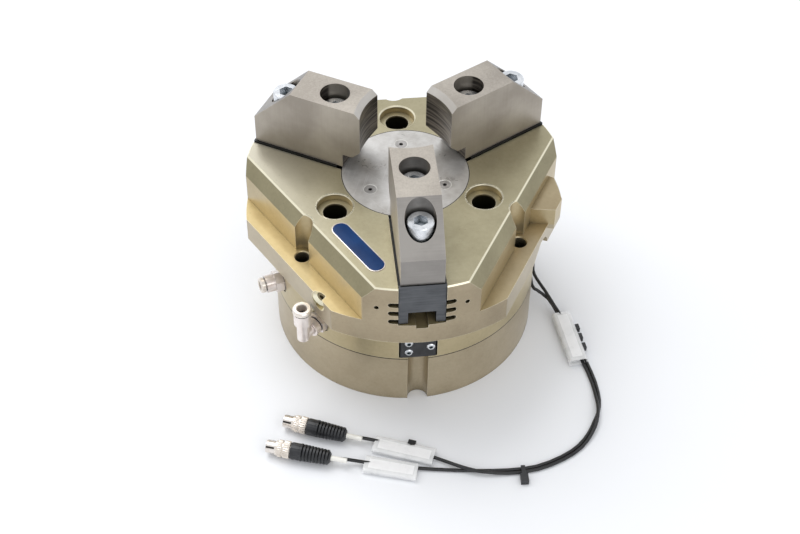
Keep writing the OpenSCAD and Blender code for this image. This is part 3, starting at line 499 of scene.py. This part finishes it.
# %% [markdown]
# ## Anodised aluminium
# Housing and base are hard anodised to a greenish bronze. The film is thin on sharp
# edges, so they look pale, and a painted highlight lies on them too. Creases, bores
# and slots get painted shade. Milled faces keep faint cutter marks and turned skins
# keep fine rings. One function makes the film for both pieces, because only their
# tones, the strength of their pale edges and the base's joint line differ.

# %% Anodised film
CREASE_SHADE_TONE, HOLLOW_SHADE_TONE = shade(92, 76, 48), shade(42, 42, 30)
PIT_TONE, SEAM_TONE = shade(90, 80, 60), shade(60, 52, 38)


def anodised(name, level_tones, wall_tones, edge, seam=None):
    """Film on a milled and turned piece. A seam is the level of a dark joint line."""
    finish = Finish(name, metallic=0.72)
    slope, height = finish.axis(finish.facing(), "Z"), finish.level("Z")
    up = slope.limit(0.5, 0.9)
    rings = finish.noise(1.0, 3.0, where=finish.turned(0, (2, 2, 2600)))
    cuts = finish.noise(1.0, 2.0, where=finish.turned(25, (700, 40, 1)))
    grain = rings + (cuts - rings) * up
    color = finish.mix(up, speckled(finish, *wall_tones, 38), speckled(finish, *level_tones, 30))
    # Painted shade: bores, slots and sockets are painted dark where little light reaches them.
    dark = hollows(finish, 12).limit(0.5, 0.78) * 0.95
    joint_line = 0
    if seam:
        joint_line = height.limit(seam - 1, seam - 0.6) * from_axis(finish).limit(84, 84.4)
    else:
        color = housing_zones(finish, color, up, slope)
        # Painted shade: the threads deep in the three large bores are painted near black.
        dark = dark.top(bore_shade(finish) * 0.97)
    # Pale edges and the top chamfer: partly the thin film, partly painted highlight.
    chamfer = slope.window(0.6, 0.66, 0.76, 0.82) * height.limit(TOP_LEVEL - 1, TOP_LEVEL - 0.8)
    sharp = edges(finish, 0.4)
    # Painted shade: inner corners get a thin dark line.
    crease = hollows(finish, 1.4).limit(0.2, 0.4)
    color = finish.layers(
        color, (pits(finish, 0.3), PIT_TONE),
        ((sharp * (1 - crease)).top(chamfer) * edge, EDGE_AND_HIGHLIGHT_TONE),
        (sharp * crease * 0.6, CREASE_SHADE_TONE), (dark, HOLLOW_SHADE_TONE), (joint_line, SEAM_TONE))
    cloud = finish.noise(55, 4.0)
    finish.set(base_color=color, roughness=cloud * 0.14 + grain * 0.12 + 0.2)
    finish.bump(grain, 0.16, 0.03)
    return finish


housing_finish = anodised("anodised_housing", (shade(156, 148, 120), shade(183, 175, 146)),
                          (shade(168, 152, 116), shade(194, 178, 142)), edge=0.85)
base_finish = anodised("anodised_base", (shade(160, 148, 118), shade(184, 172, 142)),
                       (shade(164, 150, 124), shade(188, 175, 149)), edge=0.5, seam=BASE_TOP)
print("housing film uses", len(housing_finish.tree.nodes), "nodes")

# %% [markdown]
# ## Steel and plated brass
# Screws, guides and fittings are bare or plated metal. Cutting leaves fine lines in
# one direction, and noise that is stretched along one axis draws them without an
# image. Sockets and slots get painted shade, and edges a pale tone that is partly
# wear and partly painted highlight, as on the housing.

# %% Steel
def steel(name, dark, light, rough=0.34, scratch=(60, 1500, 1500), turn=0, metallic=0.9,
          edge=0.0, edge_tone=shade(235, 232, 226), hollow=0.0, reach=3, starts=0.35,
          deep=shade(24, 24, 25)):
    """Cut metal. Edge says how strong the pale, partly highlighted edges are, and hollow how much
    painted shade darkens hollows.
    """
    finish = Finish(name, metallic=metallic)
    lines = finish.noise(1.0, 4.0, where=finish.turned(turn, scratch))
    cloud = finish.noise(60, 4.0)
    color = finish.mix((lines * 0.5 + cloud * 0.5).limit(0.36, 0.64), dark, light)
    # Pale edges, partly wear and partly painted highlight.
    if edge:
        color = finish.mix(edges(finish, 0.35) * edge, color, edge_tone)
    # Painted shade: hollows take the deep tone.
    if hollow:
        color = finish.mix(hollows(finish, reach).limit(starts, starts + 0.35) * hollow, color,
                           deep)
    finish.color = color
    finish.set(base_color=color, roughness=lines * 0.16 + cloud * 0.14 + rough - 0.14)
    finish.bump(lines, 0.15, 0.02)
    return finish


EVEN = (300, 300, 300)  # the same in all directions, for pieces that are too small for lines
# Plated pieces get painted shade in their grooves and sockets.
PLATED = {"scratch": (200, 200, 200), "hollow": 0.9, "reach": 2, "starts": 0.3,
          "deep": shade(60, 52, 48)}
# Painted shade: the guides are painted near black in the slots, with a faint painted highlight on
# their edges.
guide_steel = steel("hardened_guides", shade(76, 78, 81), shade(100, 102, 105), 0.42, edge=0.2,
                    edge_tone=shade(150, 150, 150), metallic=0.75, hollow=0.98, reach=8,
                    starts=0.1, deep=shade(4, 4, 4))
# Painted shade in the hex sockets and a painted highlight on the screw edges.
zinc = steel("zinc_screws", shade(200, 204, 208), shade(240, 242, 245), 0.24, EVEN, edge=0.7,
             edge_tone=shade(250, 252, 255), hollow=0.95, reach=4, starts=0.28,
             deep=shade(76, 92, 98))
# Painted shade in the sockets and a painted highlight on the edges.
dull_screws = steel("cover_screws", shade(150, 147, 144), shade(186, 183, 180), 0.36, EVEN,
                    edge=0.5, hollow=0.95, reach=2)
dark_zinc = steel("dark_screws", shade(90, 90, 92), shade(120, 120, 122), 0.35)
nickel = steel("nickel_brass", shade(226, 214, 207), shade(248, 240, 235), 0.22, edge=0.6,
               metallic=0.55, **PLATED)
nickel_ring = steel("nickel_rings", shade(218, 208, 196), shade(242, 234, 225), 0.24, edge=0.5,
                    metallic=0.6, **PLATED)
port_brass = steel("port_plug", shade(140, 130, 104), shade(170, 160, 132), 0.36, EVEN)
print("a plain steel uses", len(dark_zinc.tree.nodes), "nodes")

# %% [markdown]
# ## Ground top jaws
# The top jaws are blocks that a user machines to fit the workpiece. Their tops and
# sides are ground, the slope is milled, and the gripping face at the inner end is
# cut coarse and has gone dark. A material per face would do too, but here the
# direction a face looks in picks its tone, so the three jaws differ by one angle.
# Some of these tones are painted light and shade: the tops are a little lighter,
# the outward slope darker, the chamfer has a painted highlight, and hollows have
# painted shade.

# %% Jaw finishes
JAW_TURNS = -90, 30, 150


def jaw_finish(number, turn):
    """Ground faces, a dark streaky gripping face, and painted light and shade: lighter tops, a
    darker slope, a highlight on the chamfer and shade in hollows.
    """
    finish = steel(f"ground_steel_{number}", shade(150, 144, 136), shade(184, 177, 168), 0.4,
                   turn=turn)
    normal = finish.facing()
    inward, up = -finish.along(normal, tuple(heading(turn))), finish.axis(normal, "Z")
    cloud = finish.noise(28, 4.0)

    def cut(stretch, share, low, high, dark, light):
        """Tool marks in one direction, over a slow variation."""
        marks = finish.noise(1.0, 3.0, where=finish.turned(turn, stretch))
        return finish.mix((marks * share + cloud * (1 - share)).limit(low, high), dark, light)

    # Painted light: the ground tops are painted a little lighter than the sides.
    level = cut((900, 900, 40), 0.4, 0.38, 0.62, shade(158, 151, 142), shade(182, 175, 165))
    wall = cut((900, 900, 40), 0.1, 0.36, 0.64, shade(150, 142, 131), shade(176, 168, 156))
    # Painted shade: the outward slope is painted darker.
    slope = cut((900, 40, 900), 0.2, 0.36, 0.64, shade(130, 126, 122), shade(150, 146, 141))
    burnt = cut((30, 40, 800), 1.0, 0.42, 0.62, shade(58, 53, 47), shade(122, 114, 104))
    # Painted highlight on the chamfer.
    chamfer = finish.mix(cloud.limit(0.35, 0.65), shade(176, 171, 164), shade(206, 202, 196))
    color = finish.layers(
        wall, (up.limit(0.4, 0.8), level), ((-inward).limit(0.4, 0.6), slope),
        (inward.limit(0.72, 0.84) * up.below(0.1, 0.3), burnt),
        (inward.limit(0.4, 0.55) * up.limit(0.4, 0.55), chamfer),
        # Pale edges with a painted highlight, and painted shade in the jaws' hollows.
        (edges(finish, 0.35) * 0.45, shade(214, 208, 198)),
        (hollows(finish, 16).limit(0.5, 1.0) * 0.6, shade(40, 36, 32)))
    finish.set(base_color=color, metallic=0.75)
    return finish


jaw_steel = [jaw_finish(number, turn) for number, turn in enumerate(JAW_TURNS, 1)]
print("made", [finish.material.name for finish in jaw_steel])

# %% [markdown]
# ## Cover disc
# A satin steel disc closes the middle, with three countersunk screws in bright
# seats. Handling has smeared and scratched it. Smears are soft noise in the
# roughness, and scratches are very long noise in three directions, cut off so high
# that only rare thin lines are left.

# %% Satin disc with handling marks
COVER_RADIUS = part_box("center_cover")[1].x / MM
COVER_SCREW_PITCH = 26.7


def scratches(finish, turn, seed):
    """Thin, long, rare lines at one angle."""
    lines = finish.noise(1.0, 1.0, where=finish.turned(
        turn, (18, 1400, 18), (seed * 0.37, seed * 0.11, 0)))
    return lines.limit(0.66, 0.7) * finish.noise(35 + seed * 9, 2.0).limit(0.45, 0.6)


def screw_seats(finish):
    """Bright rings round the three cover screws."""
    seats = 0
    for way in THREE_WAYS:
        away = from_line(finish, heading(way) * COVER_SCREW_PITCH, UP)
        seats = away.window(3.7, 3.8, 4.3, 4.5).top(seats)
    return seats


cover_steel = Finish("center_disc", metallic=0.6)
smear = cover_steel.noise(34, 6.0, 0.7)
cloud = cover_steel.noise(90, 5.0, 0.65)
marks = scratches(cover_steel, 12, 1).top(scratches(cover_steel, 71, 2)).top(
    scratches(cover_steel, 128, 3))
satin = cover_steel.mix((smear * 0.65 + cloud * 0.35).limit(0.38, 0.62), shade(176, 172, 166),
                        shade(214, 212, 209))
rim = from_axis(cover_steel).limit(COVER_RADIUS - 0.5, COVER_RADIUS - 0.35)
cover_steel.set(roughness=smear * 0.4 + 0.12, base_color=cover_steel.layers(
    satin, (marks * 0.35, shade(232, 230, 228)),
    (screw_seats(cover_steel) * 0.8, shade(236, 234, 228)), (rim, shade(62, 58, 50))))
cover_steel.bump(cloud + marks * -0.3, 0.1, 0.03)
print("cover disc is", round(2 * COVER_RADIUS, 1), "mm across")

# %% [markdown]
# ## Plastics and rubber
# Plug bodies, cable skins, ties, seals and marker sleeves are moulded. A flat colour
# would look like a drawing, so each has a slow change of tone and a faint
# orange-peel skin from one fine noise.

# %% Plastics and rubber
def plastic(name, dark, light, rough, scale=150, **values):
    """A moulded skin between two tones."""
    finish = Finish(name, **values)
    cloud = finish.noise(scale, 4.0)
    finish.set(base_color=finish.mix(cloud.limit(0.35, 0.65), dark, light),
               roughness=cloud * 0.2 + rough - 0.1)
    finish.bump(finish.noise(scale * 12, 2.0), 0.2, 0.02)
    return finish


black_plastic = plastic("black_plastic", shade(26, 27, 29), shade(44, 45, 48), 0.42)
cable_skin = plastic("cable_skin", shade(20, 20, 21), shade(36, 36, 38), 0.36)
rubber = plastic("seal_rubber", shade(18, 18, 18), shade(30, 30, 30), 0.6)
white_sleeve = plastic("white_sleeve", shade(228, 226, 218), shade(246, 244, 238), 0.45)
label_blue = plastic("label_blue", shade(2, 44, 92), shade(8, 58, 112), 0.34, 40,
                     specular_ior_level=0.2)
bronze_band = plastic("guide_band", shade(110, 60, 30), shade(130, 75, 40), 0.5)
print("plastics made")

# %% [markdown]
# ## Dress the solid pieces
# The record gives each solid a slot, which is the name of what it is made of. A
# table from slots to finishes dresses them all in one loop. Only a few pieces of
# the same stuff look different, and a second table names those.

# %% Finish of every solid
FINISHES = {
    "hard_anodised": housing_finish, "hard_anodised_base": base_finish,
    "plain_aluminium": cover_steel, "dark_steel": dark_zinc, "ground_steel": jaw_steel[0],
    "hardened_steel": guide_steel, "zinc_steel": zinc, "spring_steel": zinc,
    "nitrile": rubber, "guide_band": bronze_band, "black_anodised": black_plastic,
    "sensor_brass": nickel, "nickel_brass": nickel, "nickel_ring": nickel_ring,
    "blue_label": label_blue, "black_cable": cable_skin, "white_tag": white_sleeve,
    "black_nylon": black_plastic, "plug_black": black_plastic}
OWN_FINISHES = {"center_cover_screws": dull_screws, "port_plug": port_brass,
                "top_jaw_1": jaw_steel[0], "top_jaw_2": jaw_steel[1],
                "top_jaw_3": jaw_steel[2]}


def dress(piece, finish):
    """Gives a piece one finish and no other."""
    piece.data.materials.clear()
    piece.data.materials.append(finish.material)


slot_of = {part["node"]: part["material_slot"] for part in frame["record"]["subparts"]}
for name, node in frame["nodes"].items():
    dress(node, OWN_FINISHES.get(name, FINISHES[slot_of[name]]))
for piece, points, length in cables:
    dress(piece, cable_skin)
print("finishes on", len(frame["nodes"]), "nodes")

# %% [markdown]
# ## Springs
# The closing springs stand between the bottom cover and the piston. A coil can't
# follow a slide, so it would stick through the piston. Rebuilding it at each height
# isn't possible in a posed scene. Here the coils are swapped for a copy with a mesh
# of its own.

# %% Coil springs
springs = new_object("coil_springs", frame["nodes"]["closing_springs"].data.copy())
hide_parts("closing_springs")
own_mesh(springs)

# %% [markdown]
# ## Screw plugs
# Each cable ends in a moulded plug with bend-relief ribs, a knurled nut that is free
# to turn, and a slotted metal tip with contact pins. All of them are turned shapes.
# A spun profile would leave the knurls out, so one helper skins rings of points,
# and a ring can carry teeth round its edge.

# %% Skin over rings
def skin(name, rings, finish, body="gripper_body"):
    """A closed surface through rings of points, with the last ring joined to the first."""
    mesh = bpy.data.meshes.new(name)
    count, sides = len(rings), len(rings[0])
    mesh.from_pydata([point for ring in rings for point in ring], [], [
        (i * sides + j, i * sides + (j + 1) % sides,
         (i + 1) % count * sides + (j + 1) % sides, (i + 1) % count * sides + j)
        for i in range(count) for j in range(sides)])
    shell = bmesh.new()
    shell.from_mesh(mesh)
    bmesh.ops.recalc_face_normals(shell, faces=shell.faces)
    shell.to_mesh(mesh)
    shell.free()
    mesh.shade_smooth()
    mesh.set_sharp_from_angle(angle=math.radians(32))
    piece = new_object(name, mesh, finish.material, body)
    return piece


def turned_rings(place, rows, sides):
    """Rings for rows of (distance, radius, depth of teeth, number of teeth)."""
    start, along, across, upward = place
    rings = []
    for distance, radius, depth, teeth in rows:
        ring = []
        for j in range(sides):
            angle = 2 * math.pi * j / sides
            r = radius - depth * (0.5 - 0.5 * math.cos(angle * teeth))
            ring.append((start + along * distance + across * r * math.cos(angle)
                         + upward * r * math.sin(angle)) * MM)
        rings.append(ring)
    return rings


print("ring helpers ready")

# %% Profiles of body, nut, pin and core
RIB_PITCH, RIB_GROWTH = 2.05, 0.09
RIBS = [(at + k * RIB_PITCH, radius + k * RIB_GROWTH, notch, 2) for k in range(8)
        for at, radius, notch in ((1.3, 4.2, 1.5), (1.55, 4.7, 0.1),
                                  (2.8, 4.7, 0.1), (3.05, 4.2, 1.5))]
BODY = [(0.2, 1.12, 0, 0), (0.2, 2.9, 0, 0), (1.0, 3.9, 0, 0)] + RIBS + [
    (17.9, 5.0, 0, 0), (18.1, 5.5, 0.12, 20), (19.4, 5.5, 0.12, 20), (19.6, 5.25, 0.12, 20),
    (24.7, 5.35, 0.12, 20), (25.3, 5.0, 0, 0), (25.3, 4.1, 0, 0), (22.6, 4.1, 0, 0),
    (22.4, 1.12, 0, 0)]
NUT = [(25.8, 4.1, 0, 0), (25.8, 5.1, 0, 0), (26.2, 5.5, 0.4, 26), (29.6, 5.5, 0.4, 26),
       (29.9, 5.0, 0, 0), (30.6, 5.0, 0, 0), (30.8, 5.4, 0.3, 26), (33.2, 5.4, 0.3, 26),
       (33.5, 4.9, 0, 0), (34.8, 4.8, 0, 0), (34.9, 4.6, 0, 0), (34.9, 4.1, 0, 0)]
PIN = [(31, 0.05, 0, 0), (31, 0.5, 0, 0), (38.6, 0.5, 0, 0), (38.9, 0.36, 0, 0),
       (39, 0.05, 0, 0)]
CORE = [(34.5, 0.2, 0, 0), (34.5, 2.95, 0, 0), (34.9, 2.95, 0, 0), (34.9, 0.2, 0, 0)]
print("plug body has", len(RIBS) // 4, "ribs and is", BODY[-4][0] - BODY[0][0], "mm long")

# %% [markdown]
# ## Pieces of the plugs
# The body and the core stay with the gripper's body, and the nut rides on its own
# joint, so that it can turn. The tip is the one of the solid model. Its finish is
# bright outside and has painted shade on the inner faces that show through the
# slots, which costs one mask and no second material.

# %% Bodies, nuts, cores and pins
PLUG_TURNS = 158.2, 161.5
PLUG_HEIGHT = 5.6
PIN_COUNT, PIN_CIRCLE = 4, 1.55
pin_gold = steel("contact_gold", shade(190, 150, 70), shade(226, 190, 110), 0.25)


def plug_frame(number):
    """Start point, direction and the two cross directions of one plug."""
    x, y, z = CABLE_ROUTES[number - 1][-1]
    along = heading(PLUG_TURNS[number - 1])
    return Vector((x, y, PLUG_HEIGHT)), along, UP.cross(along), UP


def plug_pieces(number):
    """Body, nut, core and contact pins of one plug."""
    place = start, along, across, upward = plug_frame(number)
    body = skin(f"plug_moulding_{number}", turned_rings(place, BODY, 120), black_plastic)
    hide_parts(f"plug_body_{number}")
    nut = skin(f"knurled_nut_{number}", turned_rings(place, NUT, 208), nickel_ring,
               f"nut_{number}")
    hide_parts(f"plug_nut_{number}")
    core = skin(f"plug_core_{number}", turned_rings(place, CORE, 32), black_plastic)
    pieces = [body, nut, core]
    for k in range(PIN_COUNT):
        angle = math.radians(45 + 360 / PIN_COUNT * k)
        spot = start + (across * math.cos(angle) + upward * math.sin(angle)) * PIN_CIRCLE
        pieces.append(skin(f"contact_pin_{number}_{k + 1}",
                           turned_rings((spot, along, across, upward), PIN, 12), pin_gold))
    return pieces


def tip_finish(number):
    """Nickel with painted shade inside the tip."""
    start, along, across, upward = plug_frame(number)
    finish = steel(f"plug_tip_{number}", shade(218, 210, 202), shade(240, 234, 228), 0.24,
                   (200, 200, 200), metallic=0.8)
    # Painted shade: the inner faces of the tip are painted dark.
    outside = from_line(finish, start, along).limit(3.7, 3.8)
    finish.set(base_color=finish.mix(outside, shade(60, 56, 52), finish.color))
    return finish


carried = []
for number in (1, 2):
    carried.append(plug_pieces(number))
    dress(frame["nodes"][f"plug_tip_{number}"], tip_finish(number))
    print("plug", number, "carries", len(carried[-1]), "pieces")

# %% [markdown]
# ## Domed label
# The label is a pill of blue resin in a thin silver border, and it stays bare. A
# bevelled plate would have a flat top. Rings in the shape of the pill, each a
# little narrower and higher than the last, give the domed edge that catches light.

# %% Label
LABEL_TURN, LABEL_OUT, LABEL_SIDE = 210, 61.2, 37.0
LABEL_HALF_LENGTH = 18.0
PILL_SIDES = 64
outward, lengthways = heading(LABEL_TURN), heading(LABEL_TURN + 90)
label_centre = outward * LABEL_OUT + lengthways * LABEL_SIDE


def pill_ring(half_width, height):
    """One ring of the pill, at a height over the top of the housing."""
    ring = []
    for j in range(PILL_SIDES):
        angle = 2 * math.pi * (j + 0.5) / PILL_SIDES
        end = math.copysign(LABEL_HALF_LENGTH, math.sin(angle))
        ring.append((label_centre + outward * half_width * math.cos(angle)
                     + lengthways * (end + half_width * math.sin(angle))
                     + UP * (TOP_LEVEL + height)) * MM)
    return ring


border = skin("label_border", [pill_ring(width, height) for width, height in (
    (5.65, 0.02), (5.65, 0.3), (5.5, 0.38), (5.2, 0.38), (5.12, 0.3), (5.12, 0.02))], nickel)
dome = skin("label_dome", [pill_ring(width, height) for width, height in (
    (5.1, 0.02), (5.1, 0.3), (4.9, 0.42), (4.3, 0.5), (0.01, 0.54), (0.01, 0.02))], label_blue)
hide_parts("label")
print("label dome is", round(max(dome.dimensions), 4), "m long")

# %% [markdown]
# ## Frosted sleeves
# A flattened clear tube slides over the cable and holds a strip of paper. The tube
# could be glass-like, but light that bends through thin walls is slow and noisy.
# Alpha lets the cable show through instead. The strip is in the finish: there the
# sleeve is whiter and less clear. The paper is bare.

# %% Frosted finish with a paper strip
PAPER_HALF_WIDTH, PAPER_MARGIN = 3.3, 2.2


def frosted_finish(name, start, along, across, length):
    """Clear frosted plastic with a white strip of paper down its middle."""
    finish = Finish(name)
    offset = finish.vector("SUBTRACT", finish.place(), tuple(start * MM))
    side = finish.along(offset, tuple(across)).math("ABSOLUTE") * (1 / MM)
    reach = finish.along(offset, tuple(along)) * (1 / MM)
    paper = side.below(PAPER_HALF_WIDTH, PAPER_HALF_WIDTH + 0.2) * reach.window(
        PAPER_MARGIN, PAPER_MARGIN + 0.2, length - 3, length - 2.8)
    cloud = finish.noise(90, 4.0)
    clear = finish.mix(cloud.limit(0.35, 0.65), shade(244, 245, 245), shade(254, 254, 254))
    finish.set(base_color=finish.mix(paper, clear, shade(254, 254, 254)),
               roughness=cloud * 0.3 + 0.15, alpha=paper * 0.2 + cloud * 0.2 + 0.5)
    finish.bump(cloud, 0.3, 0.2)
    return finish


print("paper strips are", 2 * PAPER_HALF_WIDTH, "mm wide")

# %% [markdown]
# ## Shape of the sleeves
# A pressed tube is neither round nor a box. Raising sine and cosine to a power below
# one gives a section with flat sides and round corners. The rings run along the
# outside and back along the inside, so the skin has a wall, and a slight swell in
# the height keeps the sleeve from looking like a ruler.

# %% Sleeves
SLEEVES = (("cable_tag_1", (103.4, -26.2), (107.6, -68.4), 0.9, 5.76, 1),
           ("cable_tag_2", (5, -134.6), (-30.8, -120.8), 0.3, 3.6, 1),
           ("cable_tag_3", (-6.5, -145), (-38.2, -135.4), 0.3, 3.6, 2))
SLEEVE_WIDTH, SLEEVE_WALL = 12.4, 0.45
SLEEVE_STEPS, SLEEVE_SIDES = 12, 36
SQUARENESS = 0.45


def flattened(value):
    """Pushes a sine or cosine out towards 1 or -1."""
    return math.copysign(abs(value) ** SQUARENESS, value)


def sleeve_ring(centre, across, half_width, half_height):
    """One section of a flattened tube."""
    ring = []
    for j in range(SLEEVE_SIDES):
        angle = 2 * math.pi * j / SLEEVE_SIDES
        ring.append((centre + across * flattened(math.cos(angle)) * half_width
                     + UP * flattened(math.sin(angle)) * half_height) * MM)
    return ring


for name, first, last, low, thick, number in SLEEVES:
    start, end = Vector((*first, 0)), Vector((*last, 0))
    length = (end - start).length
    along = (end - start) / length
    across = UP.cross(along)
    rings = []
    for shrink, steps in ((0.0, range(SLEEVE_STEPS + 1)),
                          (SLEEVE_WALL, range(SLEEVE_STEPS, -1, -1))):
        for step in steps:
            swell = 1 - 0.10 * math.sin(step * 0.9 + low) ** 2
            centre = start + along * length * step / SLEEVE_STEPS + UP * (low + thick / 2)
            rings.append(sleeve_ring(centre, across, SLEEVE_WIDTH / 2 - shrink,
                                     (thick / 2 - shrink) * swell))
    sleeve = skin(name.replace("cable_tag", "frosted_sleeve"), rings,
                  frosted_finish("frosted_" + name[-1], start, along, across, length))
    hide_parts(name)
    carried[number - 1].append(sleeve)
    print(sleeve.name, "is", round(length, 1), "mm long")

# The plugs, the tie, the markers and the sleeves are counted with one cable or the other.

# %% Cords
CARRIED = ("cable_ties", "plug_tip_1"), ("marker_sleeves", "plug_tip_2")
for (piece, points, length), names, pieces in zip(cables, CARRIED, carried):
    pieces + [frame["nodes"][n] for n in names]
    print(piece.name, "carries", len(pieces) + len(names), "pieces")

# %% [markdown]
# ## Table
# The gripper stands on a plain white table. It could be a slab, but only its top is
# ever seen, so a flat grid is enough. It lies a hair below the lowest point, so that
# no two faces share one place. As stage it belongs to the picture and not to the
# gripper.

# %% Table
table_mesh = bpy.data.meshes.new("table")
builder = bmesh.new()
bmesh.ops.create_grid(builder, x_segments=8, y_segments=8, size=3)
builder.to_mesh(table_mesh)
builder.free()
table = bpy.data.objects.new("table", table_mesh)
bpy.context.scene.collection.objects.link(table)
table.location.z = solid_box[0].z - 0.05 * MM
table_finish = Finish("table_white", roughness=0.7)
table_finish.set(base_color=table_finish.mix(table_finish.noise(4), (0.83, 0.84, 0.86),
                                             (0.85, 0.86, 0.88)))
dress(table, table_finish)
print("table at", round(table.location.z / MM, 2), "mm")

# %% [markdown]
# ## Light
# A large soft lamp behind on the left, a weak one in front and a bright room give
# the pale, even picture of a catalogue, with one soft shadow at the foot. Small
# lamps would draw hard shadows and burn spots into the satin metal. The standard
# view transform keeps white paper white.

# %% Lamps and room
def lamp(name, place, target, size, power):
    """A soft area lamp that points at a target."""
    data = bpy.data.lights.new(name, "AREA")
    data.shape, data.size, data.size_y = "RECTANGLE", *size
    data.energy = power
    item = bpy.data.objects.new(name, data)
    bpy.context.scene.collection.objects.link(item)
    item.location = place
    item.rotation_euler = (Vector(target) - Vector(place)).to_track_quat("-Z", "Y").to_euler()


lamp("big_softbox", (-0.6, 0.7, 1.5), (0, 0, 0), (1.3, 1.3), 16)
lamp("front_fill", (0.5, -1.5, 1.0), (0, 0, 0.1), (1.2, 0.8), 5)
room = bpy.data.worlds.new("bright_room")
bpy.context.scene.world = room
room.use_nodes = True
room_light = room.node_tree.nodes["Background"].inputs
room_light["Color"].default_value = (0.96, 0.975, 1, 1)
room_light["Strength"].default_value = 0.86
bpy.context.scene.view_settings.view_transform = "Standard"
print("lit by", len(bpy.data.lights), "lamps and the room")

# %% [markdown]
# ## Measure and finish
# The last cell prints the height of the solid model.

# %% Sizes and finish
print("solid model is", round(solid_box[1].z - solid_box[0].z, 4), "m high")
